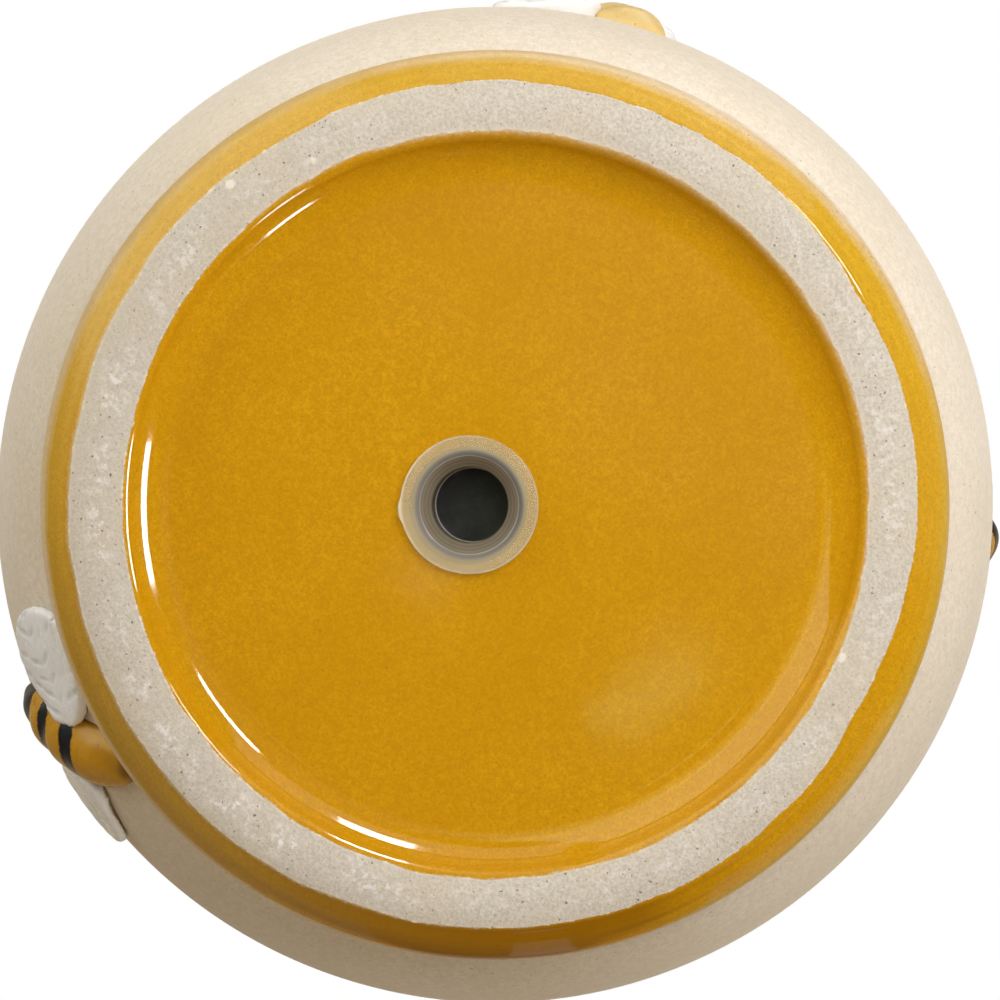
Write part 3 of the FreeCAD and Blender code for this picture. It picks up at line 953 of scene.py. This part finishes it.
def throw_pot(settings):
    """The stoneware pot: a dense lathed wall over the CAD section, with glaze laid on in relief."""
    wall = PotWall(settings.columns)
    r, z = wall.r, wall.z
    normal = outward(wall.outline, True)
    honey_line, bare_line = glaze_lines(wall)
    relief = wall_relief(wall, bare_line, settings)

    # The foot ring is crowned, so that its edges stand clear of the table
    from_ring = np.clip((r - wall.ring_middle) / (5.6 * MM), -1.0, 1.0)
    crown = settings.ring_crown * from_ring ** 2 * np.clip(1.0 - z / (7.0 * MM), 0.0, 1.0)

    # Rings slide towards the drain hole, which is off the centre of the base
    drain = drain_centre()
    slide = 1.0 - smoothstep(r.min() + 1.2 * MM, 44 * MM, r)
    reach = (r + drain.length * slide)[:, None] + relief * normal[:, :1]
    points = np.stack([
        drain.x * slide[:, None] + reach * np.cos(wall.turn),
        drain.y * slide[:, None] + reach * np.sin(wall.turn),
        (z + crown)[:, None] + relief * normal[:, 1:],
    ], axis=-1).reshape(-1, 3)
    values = {"honey_line": honey_line, "bare_line": bare_line, **band_glaze(wall), **ring_marks(wall)}
    values["thin_glaze_and_light"] = values["thin_glaze_and_light"] + run_edges(wall)
    return mesh_object("stoneware_pot", points, lathe_faces(*wall.turn.shape, True), values)


# Bees

def wall_tree():
    """The pot's solid, for distances from its wall."""
    solid = bmesh.new()
    solid.from_mesh(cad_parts["pot_body"].data)
    tree = BVHTree.FromBMesh(solid)
    solid.free()
    return tree


def even_copy(node_name, spacing, passes):
    """A closed, even mesh of a CAD solid, with its edges softened as wet clay is."""
    work = bpy.data.objects.new("work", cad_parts[node_name].data.copy())
    bpy.context.scene.collection.objects.link(work)
    remesh = work.modifiers.new("even", "REMESH")
    remesh.mode = "VOXEL"
    remesh.voxel_size = spacing
    soft = work.modifiers.new("soft", "SMOOTH")
    soft.factor = 0.5
    soft.iterations = passes
    depsgraph = bpy.context.evaluated_depsgraph_get()
    mesh = bpy.data.meshes.new_from_object(work.evaluated_get(depsgraph))
    old = work.data
    bpy.data.objects.remove(work)
    bpy.data.meshes.remove(old)
    mesh.materials.clear()
    return mesh


def mesh_points(mesh):
    """A mesh's points, one to a row."""
    points = np.zeros(len(mesh.vertices) * 3, np.float32)
    mesh.vertices.foreach_get("co", points)
    return points.reshape(-1, 3).astype(float)


def mesh_normals(mesh):
    """The outward direction at each of a mesh's points."""
    normals = np.zeros(len(mesh.vertices) * 3, np.float32)
    mesh.vertex_normals.foreach_get("vector", normals)
    return normals.reshape(-1, 3).astype(float)


def above_wall(points, wall):
    """Height of each point above the pot's wall, and the wall's outward direction there."""
    heights, ways = np.zeros(len(points)), np.zeros((len(points), 3))
    for index, point in enumerate(points):
        spot, way, _, _ = wall.find_nearest(Vector(point))
        heights[index] = (Vector(point) - spot).dot(way)
        ways[index] = way
    return heights, ways


def long_axis(points):
    """Middle and direction of a piece's longest way."""
    middle = points.mean(0)
    _, vectors = np.linalg.eigh(np.cov((points - middle).T))
    return middle, vectors[:, 2]


# Dark bands of each bee, as middles and half widths, and soft ridges, in shares of its length
BEE_BANDS = {
    "lower_bee": ((0.0, 0.255), (0.430, 0.046), (0.664, 0.050)),
    "middle_bee": ((0.0, 0.105), (0.200, 0.038), (0.370, 0.042)),
    "upper_bee": ((0.0, 0.255), (0.480, 0.050), (0.875, 0.062)),
}
BEE_RIDGES = (0.30, 0.36, 0.50, 0.59)

# How pale each bee's amber is laid: thin glaze, which on the middle bee is partly painted light where the
# light is brightest
PALE_AMBER_AND_LIGHT = {"lower_bee": 0.0, "middle_bee": 0.70, "upper_bee": 0.10}

# How far a bee's wings rise at their roots, and how far one wing droops, in millimetres
WING_LIFT = {"lower_bee": 0.5, "middle_bee": 1.0, "upper_bee": 1.5}
WING_DROOP = {"lower_bee_left_wing": 2.2}


def press_bee_body(bee, settings, wall):
    """One egg-shaped body: dark bands, soft ridges between them and a plain blunt head end."""
    mesh = even_copy(bee + "_body", settings.detail, 6)
    points, normals = mesh_points(mesh), mesh_normals(mesh)
    middle, axis = long_axis(points)
    along = (points - middle) @ axis
    if axis[2] > 0.0:
        axis, along = -axis, -along
    low, high = along.min(), along.max()
    share = (along - low) / (high - low)
    heights, ways = above_wall(points, wall)
    across = np.einsum("ij,ij->i", points - middle, np.cross(ways, axis)) / MM
    bow = 0.012 * across * np.abs(across) / 10.0
    bands = np.full(len(points), -50.0)
    length = (high - low) / MM
    for centre, half in BEE_BANDS[bee]:
        bands = np.maximum(bands, (half - np.abs(share + bow - centre)) * length)
    ridge = np.zeros(len(points))
    for centre in BEE_RIDGES:
        ridge += 0.22 * bell(share + bow - centre, 0.045)
    high_up = smoothstep(0.3 * MM, 1.6 * MM, heights)
    lump = 0.10 * np.sin(points @ np.array([610.0, 480.0, 730.0])) * high_up
    points += normals * ((ridge * high_up + lump) * MM)[:, None]
    points -= ways * (settings.bedding * (1.0 - smoothstep(0.0, 0.9 * MM, heights)))[:, None]
    pooled = np.clip(1.0 - smoothstep(0.1 * MM, 1.5 * MM, heights) + smoothstep(0.93, 1.0, share), 0, 1)
    # Less pooled brown on a pale bee, partly painted light on the middle bee
    pooled = pooled * (1.0 - PALE_AMBER_AND_LIGHT[bee])
    mesh.vertices.foreach_set("co", points.astype(np.float32).ravel())
    thin = np.full(len(points), PALE_AMBER_AND_LIGHT[bee])
    values = {"stripe": bands, "pooled": pooled, "pale_amber_and_light": thin}
    return dressed_object(bee + "_amber_body", mesh, values)


def press_wing(bee, side, settings, wall):
    """One soft thick wing, dimpled by a tool in feathered rows from root to tip."""
    name = bee + side
    mesh = even_copy(name, settings.detail * 0.85, 16)
    points, normals = mesh_points(mesh), mesh_normals(mesh)
    body = mesh_points(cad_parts[bee + "_body"].data).mean(0)
    middle, axis = long_axis(points)
    if (middle - body) @ axis < 0:
        axis = -axis
    along = (points - middle) @ axis
    heights, ways = above_wall(points, wall)
    facing = np.einsum("ij,ij->i", normals, ways)
    across = np.einsum("ij,ij->i", points - middle, np.cross(ways, axis)) / MM
    share = (along - along.min()) / (along.max() - along.min())
    row = along / MM - 0.6 * np.abs(across)
    draw = np.random.default_rng(sum(map(ord, name)))
    dimple = np.zeros(len(points))
    for _ in range(7):
        lean, size = draw.uniform(-0.9, 0.9), draw.uniform(1.1, 2.1)
        dimple += np.cos(row * size + across * size * lean + draw.uniform(0.0, 2.0 * math.pi))
    dimple = smoothstep(-0.2, 1.9, dimple / math.sqrt(3.5)) * smoothstep(0.03, 0.20, share)
    topside = smoothstep(0.35, 0.85, facing)
    clear = smoothstep(0.2 * MM, 0.8 * MM, heights)
    swell = settings.swell * clear - 0.18 * MM * dimple * topside
    root = (1.0 - smoothstep(0.05, 0.42, share)) * clear
    points += ways * (WING_LIFT[bee] * MM * root)[:, None]
    down = -np.array([0.0, 0.0, 1.0]) + ways * ways[:, 2:]
    lower_edge = smoothstep(-2.0 * MM, 6.0 * MM, np.einsum("ij,ij->i", points - middle, down))
    points += down * (WING_DROOP.get(name, 0.0) * MM * lower_edge)[:, None]
    points += normals * swell[:, None] + np.cross(ways, axis) * (0.12 * across * MM * clear)[:, None]
    points -= ways * (settings.bedding * (1.0 - smoothstep(0.0, 0.8 * MM, heights)))[:, None]
    mesh.vertices.foreach_set("co", points.astype(np.float32).ravel())
    cut_edge = (1.0 - smoothstep(-0.15, 0.45, facing)) * (1.0 - smoothstep(0.3 * MM, 1.1 * MM, heights))
    # No brown cut edge on a pale bee, partly painted light on the middle bee
    cut_edge = cut_edge * (1.0 - PALE_AMBER_AND_LIGHT[bee])
    values = {"dimple": dimple * topside, "cut_edge": cut_edge}
    return dressed_object(name.replace("_wing", "_white_wing"), mesh, values)


# Plug

# Turn of the plane that cuts the plug, spacing of its mesh, and passes that ease its edges
PLUG_CUT = 0.4
PLUG_SPACING = 0.14 * MM
PLUG_EASING = 7


def plug_outline():
    """Half of the plug's section, from inside its closed end round to the outside, edges eased."""
    centre = drain_centre()
    loop = counter_clockwise(max(cut_loops("drain_plug", centre, PLUG_CUT), key=len))
    right = loop[:, 0] >= 0
    start = int(np.flatnonzero(right & ~np.roll(right, 1))[0])
    loop = np.roll(loop, -start, axis=0)
    half = loop[loop[:, 0] >= 0]
    half = np.vstack([[0.0, half[0, 1]], half, [0.0, half[-1, 1]]])
    line = resample(half, lambda r, z: np.full_like(r, PLUG_SPACING))
    for _ in range(PLUG_EASING):
        line[1:-1] = (line[:-2] + 2.0 * line[1:-1] + line[2:]) / 4.0
    return line


class PlugSection:
    """The plug's half section, and the places on it where its look changes."""

    def __init__(self):
        self.line = plug_outline()
        body = self.line[1:-1]
        self.r, self.z = r, z = body.T
        self.run = along_line(body) / MM
        self.low, self.high = self.line[:, 1].min(), self.line[:, 1].max()
        self.flange = r.max()
        self.cup_end = int(np.argmin(np.where(r > 8.0 * MM, z, np.inf)))
        self.mouth = int(np.argmin(np.where(z < self.low + 0.12 * MM, r, np.inf)))
        self.corner = int(np.flatnonzero(z[:self.cup_end] > self.line[0, 1] - 0.40 * MM)[-1])
        self.rim_edge = int(np.argmin(np.hypot(r - self.flange, z - self.low)))


def plug_points(plug, angle, settings):
    """Rings of the plug, with a nub on its flange and a leaning bore, and a tip at either end."""
    centre = drain_centre()
    r, z = plug.r[:, None], plug.z[:, None]
    nub = np.exp(-((turned_from(angle, -68.0) / 0.15) ** 4))
    reach = r + settings.flash * nub * smoothstep(plug.flange - 0.5 * MM, plug.flange, r)
    reach = reach + 0.05 * MM * waver(angle, 41, 2, 7) * smoothstep(9.4 * MM, 11 * MM, r)
    bore = np.zeros(r.shape)
    bore[:plug.cup_end] = smoothstep(plug.low, plug.high - 2 * MM, z[:plug.cup_end])
    lean = settings.bore_lean * bore
    x = centre.x + reach * np.cos(angle) + lean * PICTURE_RIGHT.x
    y = centre.y + reach * np.sin(angle) + lean * PICTURE_RIGHT.y
    rings = np.stack([x, y, np.broadcast_to(z, x.shape)], axis=-1).reshape(-1, 3)
    end = centre + settings.bore_lean * PICTURE_RIGHT
    tips = [[end.x, end.y, plug.line[0, 1]], [centre.x, centre.y, plug.line[-1, 1]]]
    return np.vstack([rings, tips])


def plug_faces(rings, columns):
    """Faces of the plug's rings, closed by a fan to the tip at either end."""
    inner, outer, last = rings * columns, rings * columns + 1, (rings - 1) * columns
    faces = lathe_faces(rings, columns, False)
    faces += [[inner, (j + 1) % columns, j] for j in range(columns)]
    faces += [[outer, last + j, last + (j + 1) % columns] for j in range(columns)]
    return faces


def plug_shades(plug, angle):
    """The plug's painted highlights on its edges, the painted shade of its bore, and the hole's painted
    shade through its flange.
    """
    run, mouth, rim_edge = plug.run[:, None], plug.run[plug.mouth], plug.run[plug.rim_edge]
    lower_left = np.cos(picture_angle(angle) - math.radians(228.0))
    # Painted highlights on the mouth, flange rim, face and bore end, stronger towards the lower left
    edge_highlight = 0.35 * bell(run - mouth, 0.08)
    edge_highlight = edge_highlight + bell(run - rim_edge, 0.26) * (0.52 + 0.38 * lower_left)
    edge_highlight = edge_highlight + ((run > mouth) & (run < rim_edge)) * (0.05 + 0.09 * lower_left)
    past_end = run - plug.run[plug.corner]
    edge_highlight = edge_highlight + 0.85 * bell(past_end, np.where(past_end < 0.0, 0.30, 3.2))
    # Painted shade in the bore, with faint ring lines
    bore_rings = 0.10 * np.cos(run * 5.2) + 0.08 * np.cos(run * 13.0)
    in_bore = np.where(run < mouth, np.clip(0.85 + bore_rings, 0.0, 1.0), 0.0)
    # Painted shade of the drain hole's edge, seen through the flange
    on_face = (run >= mouth) & (plug.z[:, None] < plug.low + 0.6 * MM)
    over_hole = np.where(on_face, smoothstep(10.4 * MM, 8.9 * MM, plug.r[:, None]), 0.0)
    shades = {"painted_edge_highlight": edge_highlight, "hole_shade": over_hole, "bore_shade": in_bore}
    grid = (len(run), len(angle))
    return {name: np.append(np.broadcast_to(each, grid), [0.0, 0.0]) for name, each in shades.items()}


def mould_plug(settings):
    """The soft drain plug: flange with a moulding nub, ribbed barrel, stepped bore and closed end."""
    plug = PlugSection()
    rings, columns = len(plug.run), settings.columns
    angle = np.arange(columns) * (2.0 * math.pi / columns)
    made = mesh_object(
        "soft_drain_plug", plug_points(plug, angle, settings), plug_faces(rings, columns),
        plug_shades(plug, angle),
    )
    made.data.materials.append(soft_plug(settings))
    made.data.materials.append(shaded_plug_end(settings))

    # The closed end is painted dark as shade, inside and out, with both of its fans
    inside_end = (np.arange(rings) < plug.corner) & (plug.r < plug.r[plug.corner] - 0.10 * MM)
    shaded_end_ring = inside_end | (plug.z > plug.high - 1.6 * MM)
    dark = np.ones(len(made.data.polygons), np.int32)
    dark[:(rings - 1) * columns] = np.repeat(shaded_end_ring[:-1] & shaded_end_ring[1:], columns)
    made.data.polygons.foreach_set("material_index", dark)
    made.data.update()
    return made


# Stage

def picture_way(turn, off_axis):
    """A direction from the pot, by its angle in the picture and its angle off the lens."""
    turn, off_axis = math.radians(turn), math.radians(off_axis)
    aside = PICTURE_RIGHT * math.cos(turn) + PICTURE_UP * math.sin(turn)
    return Vector((0.0, 0.0, -1.0)) * math.cos(off_axis) + aside * math.sin(off_axis)


WHITE, WARM = (1.0, 1.0, 1.0), (1.0, 0.84, 0.61)
IVORY, PALE = (0.95, 1.0, 0.80), (0.72, 1.0, 0.45)

# Soft lamps: name, turn in the picture, angle off the lens, distance, width, height, level, tint
SOFT_LAMPS = (
    ("lens_fill", 48, 18, 0.40, 0.20, 0.20, 0.52, WHITE),
    ("front_fill", 45, 50, 0.50, 0.25, 0.25, 0.17, WHITE),
    ("upper_left_fill", 142, 74, 1.0, 1.0, 0.6, 0.49, WHITE),
    ("right_fill", 1, 84, 0.9, 0.4, 0.2, 0.36, WHITE),
    ("top_fill", 71, 103, 0.9, 0.3, 0.2, 0.25, WHITE),
    ("low_right_fill", -55, 95, 0.9, 0.2, 0.2, 0.13, WHITE),
    ("lower_fill", 248, 56, 0.9, 0.4, 0.4, 0.085, WARM),
    ("high_right_lamp", 20, 145, 1.1, 0.8, 0.8, 0.38, WHITE),
    ("high_left_lamp", 140, 145, 1.1, 0.8, 0.8, 0.38, WHITE),
    ("high_back_lamp", 280, 150, 1.1, 0.8, 0.8, 0.24, WARM),
)

# Cards that only gloss shows: name, turn, angle off the lens, distance, width, height, level, tint
FAR_CARDS = (
    ("corner_strip", 38, 44, 0.9, 0.18, 0.11, 42.0, WHITE),
    ("upper_left_panel", 134, 70, 1.0, 1.00, 1.90, 1.9, IVORY),
    ("upper_left_sheet", 134, 23, 1.0, 0.75, 0.14, 1.9, PALE),
    ("upper_left_flap", 134, 14.5, 1.0, 0.60, 0.157, 0.8, PALE),
    ("top_panel", 72, 78, 1.0, 1.10, 1.20, 0.9, WHITE),
    ("crest_strip", 80, 122, 0.9, 0.60, 0.10, 4.0, WHITE),
    ("lens_card", -50, 5.1, 0.93, 0.040, 0.015, 2.6, PALE),
    ("small_card", 225, 2.2, 0.93, 0.011, 0.017, 1.0, WHITE),
    ("lower_left_wall", 236, 104, 1.0, 0.62, 0.8, 0.15, WHITE),
    ("lower_gap_wall", 276, 104, 1.0, 0.13, 0.8, 0.35, WHITE),
    ("lower_right_wall", 316, 104, 1.0, 0.60, 0.8, 0.3, WHITE),
)

# Bright cards close under the base, for the streaks round its hollow: name, turn, width, drop in mm
NEAR_CARDS = (("right_card", 1.5, 24, 42), ("top_card", 70.5, 13, 42), ("low_right_card", -54.5, 9, 18))

# Their distance from the axis, the gap over them, how far off they begin to show, and their level
CARD_REACH = 61.0 * MM
CARD_GAP = 2
CARD_SHOWS = 95.0 * MM
CARD_LEVEL = 42.0


def hang_lamp(name, start, way, distance, width, height):
    """A rectangular lamp at a distance along a way, facing back to its start, unseen by the camera."""
    light = bpy.data.lights.new(name, "AREA")
    light.shape = "RECTANGLE"
    light.size, light.size_y = width, height
    lamp = bpy.data.objects.new(name, light)
    bpy.context.scene.collection.objects.link(lamp)
    across = Vector((0.0, 0.0, 1.0)).cross(way).normalized()
    turned = Matrix((across, way.cross(across), way)).transposed()
    lamp.matrix_world = Matrix.Translation(start + way * distance) @ turned.to_4x4()
    lamp.visible_camera = False
    return lamp


def hang_card(brightness, tint, *where):
    """A card that shows in gloss and lights nothing."""
    card = hang_lamp(*where)
    card.data.energy = brightness * math.pi * card.data.size * card.data.size_y
    card.data.color = tint
    card.visible_diffuse = False


def bright_card():
    """White on its front, which gloss shows across the hollow, once and not in a second reflection."""
    material, tree, shader = new_material("bright_card")
    path = node(tree, "ShaderNodeLightPath")
    once = number(tree, "LESS_THAN", path.outputs["Glossy Depth"], 1.5)
    behind = node(tree, "ShaderNodeNewGeometry").outputs["Backfacing"]
    front = number(tree, "SUBTRACT", once, behind, True)
    across = number(tree, "GREATER_THAN", path.outputs["Ray Length"], CARD_SHOWS)
    front = number(tree, "MULTIPLY", front, across)
    glow = node(tree, "ShaderNodeEmission", {"Strength": number(tree, "MULTIPLY", front, CARD_LEVEL)})
    out = next(n for n in tree.nodes if n.type == "OUTPUT_MATERIAL")
    tree.links.new(glow.outputs["Emission"], out.inputs["Surface"])
    tree.nodes.remove(shader)
    return material


def light_pot(settings):
    """Soft lamps, at whose level 1 a facing surface shows its own colour, and cards for the gloss."""
    base = Vector((0.0, 0.0, 0.03))
    for name, turn, off_axis, distance, width, height, brightness, tint in SOFT_LAMPS:
        lamp = hang_lamp(name, base, picture_way(turn, off_axis), distance, width, height)
        lamp.data.energy = settings.lamp_level * brightness * (math.pi * distance) ** 2
        lamp.data.color = tint
        lamp.visible_glossy = False
    for name, turn, off_axis, distance, width, height, brightness, tint in FAR_CARDS:
        hang_card(brightness, tint, name, base, picture_way(turn, off_axis), distance, width, height)
    white = bright_card()
    for name, turn, width, drop in NEAR_CARDS:
        out, across = picture_way(turn, 90.0), picture_way(turn + 90.0, 90.0) * (width * MM / 2)
        corners = [
            out * CARD_REACH + across * side + Vector((0.0, 0.0, height * MM))
            for side, height in ((-1, -drop), (1, -drop), (1, -CARD_GAP), (-1, -CARD_GAP))
        ]
        card = mesh_object(name, np.array(corners), [[0, 1, 2, 3]])
        card.data.materials.append(white)
        card.visible_camera = card.visible_diffuse = card.visible_shadow = False


# How far the lens stands to the right of the pot's axis and above it in the picture
CAMERA_ASIDE = (0.87 * MM, 0.85 * MM)


def set_camera(settings):
    """The lens straight under the base, with the pot's axis a little off the picture's middle."""
    data = bpy.data.cameras.new("underside_camera")
    data.sensor_width = 36.0
    data.lens = data.sensor_width * settings.camera_distance / settings.frame_width
    data.clip_start, data.clip_end = 0.02, 50.0
    camera = bpy.data.objects.new("underside_camera", data)
    bpy.context.scene.collection.objects.link(camera)
    aside = PICTURE_RIGHT * CAMERA_ASIDE[0] + PICTURE_UP * CAMERA_ASIDE[1]
    turned = Matrix((PICTURE_RIGHT, PICTURE_UP, Vector((0.0, 0.0, -1.0)))).transposed()
    place = aside + Vector((0.0, 0.0, -settings.camera_distance))
    camera.matrix_world = Matrix.Translation(place) @ turned.to_4x4()
    bpy.context.scene.camera = camera


def light_world(settings):
    """White behind the pot and warm even light; gloss sees white only high above."""
    world = bpy.data.worlds.new("white_studio")
    world.use_nodes = True
    tree = world.node_tree
    tree.nodes.clear()
    path = node(tree, "ShaderNodeLightPath")
    way = node(tree, "ShaderNodeTexCoord").outputs["Generated"]
    rise = node(tree, "ShaderNodeSeparateXYZ", {"Vector": way}).outputs["Z"]
    seen = number(tree, "MAXIMUM", path.outputs["Is Glossy Ray"], path.outputs["Is Transmission Ray"])
    even = level(tree, seen, settings.ambient, between(tree, rise, 0.55, 0.98, 0.12, 0.5))
    strength = level(tree, path.outputs["Is Camera Ray"], even, 1.0)
    colour = tone(tree, path.outputs["Is Camera Ray"], settings.warmth, (1.0, 1.0, 1.0))
    sky = node(tree, "ShaderNodeBackground", {"Color": colour, "Strength": strength})
    out = node(tree, "ShaderNodeOutputWorld")
    tree.links.new(sky.outputs["Background"], out.inputs["Surface"])
    bpy.context.scene.world = world


def lay_floor(settings):
    """A pale floor well below the pot, which is held up to show its base."""
    half, drop = 20.0, -2.0
    sides = ((-1, -1), (1, -1), (1, 1), (-1, 1))
    corners = np.array([[x * half, y * half, drop] for x, y in sides])
    floor = mesh_object("pale_floor", corners, [[0, 1, 2, 3]])
    floor.data.materials.append(pale_floor(settings))


# Operators

class PLANTER_OT_pot(bpy.types.Operator):
    """Throw the stoneware pot over its solid and glaze it"""
    bl_idname = "planter.pot"
    bl_label = "Throw and glaze the pot"

    def execute(self, context):
        settings = context.scene.planter_pot
        pot = throw_pot(settings)
        pot.data.materials.append(pot_glaze(settings))
        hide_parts("pot_body")
        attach(pot, "pot")
        return {"FINISHED"}


class PLANTER_OT_bees(bpy.types.Operator):
    """Press the clay bees on to the wall and glaze them"""
    bl_idname = "planter.bees"
    bl_label = "Press on the bees"

    def execute(self, context):
        settings = context.scene.planter_bees
        wall = wall_tree()
        amber, white = bee_glaze(settings), wing_glaze(settings)
        for bee in BEES:
            body = press_bee_body(bee, settings, wall)
            body.data.materials.append(amber)
            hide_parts(bee + "_body")
            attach(body, "pot")
            for side in ("_left_wing", "_right_wing"):
                wing = press_wing(bee, side, settings, wall)
                wing.data.materials.append(white)
                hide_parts(bee + side)
                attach(wing, "pot")
        return {"FINISHED"}


class PLANTER_OT_plug(bpy.types.Operator):
    """Mould the soft plug that closes the drain hole"""
    bl_idname = "planter.plug"
    bl_label = "Mould the drain plug"

    def execute(self, context):
        plug = mould_plug(context.scene.planter_plug)
        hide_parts("drain_plug")
        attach(plug, "plug")
        return {"FINISHED"}


class PLANTER_OT_stage(bpy.types.Operator):
    """Set the camera, the lamps, the white surroundings and the floor"""
    bl_idname = "planter.stage"
    bl_label = "Set the stage"

    def execute(self, context):
        settings = context.scene.planter_stage
        set_camera(settings)
        light_world(settings)
        light_pot(settings)
        lay_floor(settings)
        context.scene.view_settings.view_transform = "Standard"
        return {"FINISHED"}


class PLANTER_PT_panel(bpy.types.Panel):
    """Sizes, colours and steps of the planter"""
    bl_idname = "PLANTER_PT_panel"
    bl_label = "Honey pot planter"
    bl_space_type = "VIEW_3D"
    bl_region_type = "UI"
    bl_category = "Planter"

    def draw(self, context):
        for label, operator in STEPS:
            settings = getattr(context.scene, label)
            box = self.layout.box()
            box.operator(operator)
            for name in settings.__annotations__:
                box.prop(settings, name)


STEPS = (
    ("planter_pot", "planter.pot"),
    ("planter_bees", "planter.bees"),
    ("planter_plug", "planter.plug"),
    ("planter_stage", "planter.stage"),
)
SETTINGS = {
    "planter_pot": PlanterPotSettings,
    "planter_bees": PlanterBeeSettings,
    "planter_plug": PlanterPlugSettings,
    "planter_stage": PlanterStageSettings,
}
CLASSES = (
    *SETTINGS.values(), PLANTER_OT_pot, PLANTER_OT_bees, PLANTER_OT_plug, PLANTER_OT_stage,
    PLANTER_PT_panel,
)


def register():
    for made in CLASSES:
        bpy.utils.register_class(made)
    for name, kind in SETTINGS.items():
        setattr(bpy.types.Scene, name, PointerProperty(type=kind))


def unregister():
    for name in SETTINGS:
        delattr(bpy.types.Scene, name)
    for made in reversed(CLASSES):
        bpy.utils.unregister_class(made)


def main():
    register()
    bpy.ops.planter.stage()
    bpy.ops.planter.pot()
    bpy.ops.planter.bees()
    bpy.ops.planter.plug()


if __name__ == "__main__":
    main()
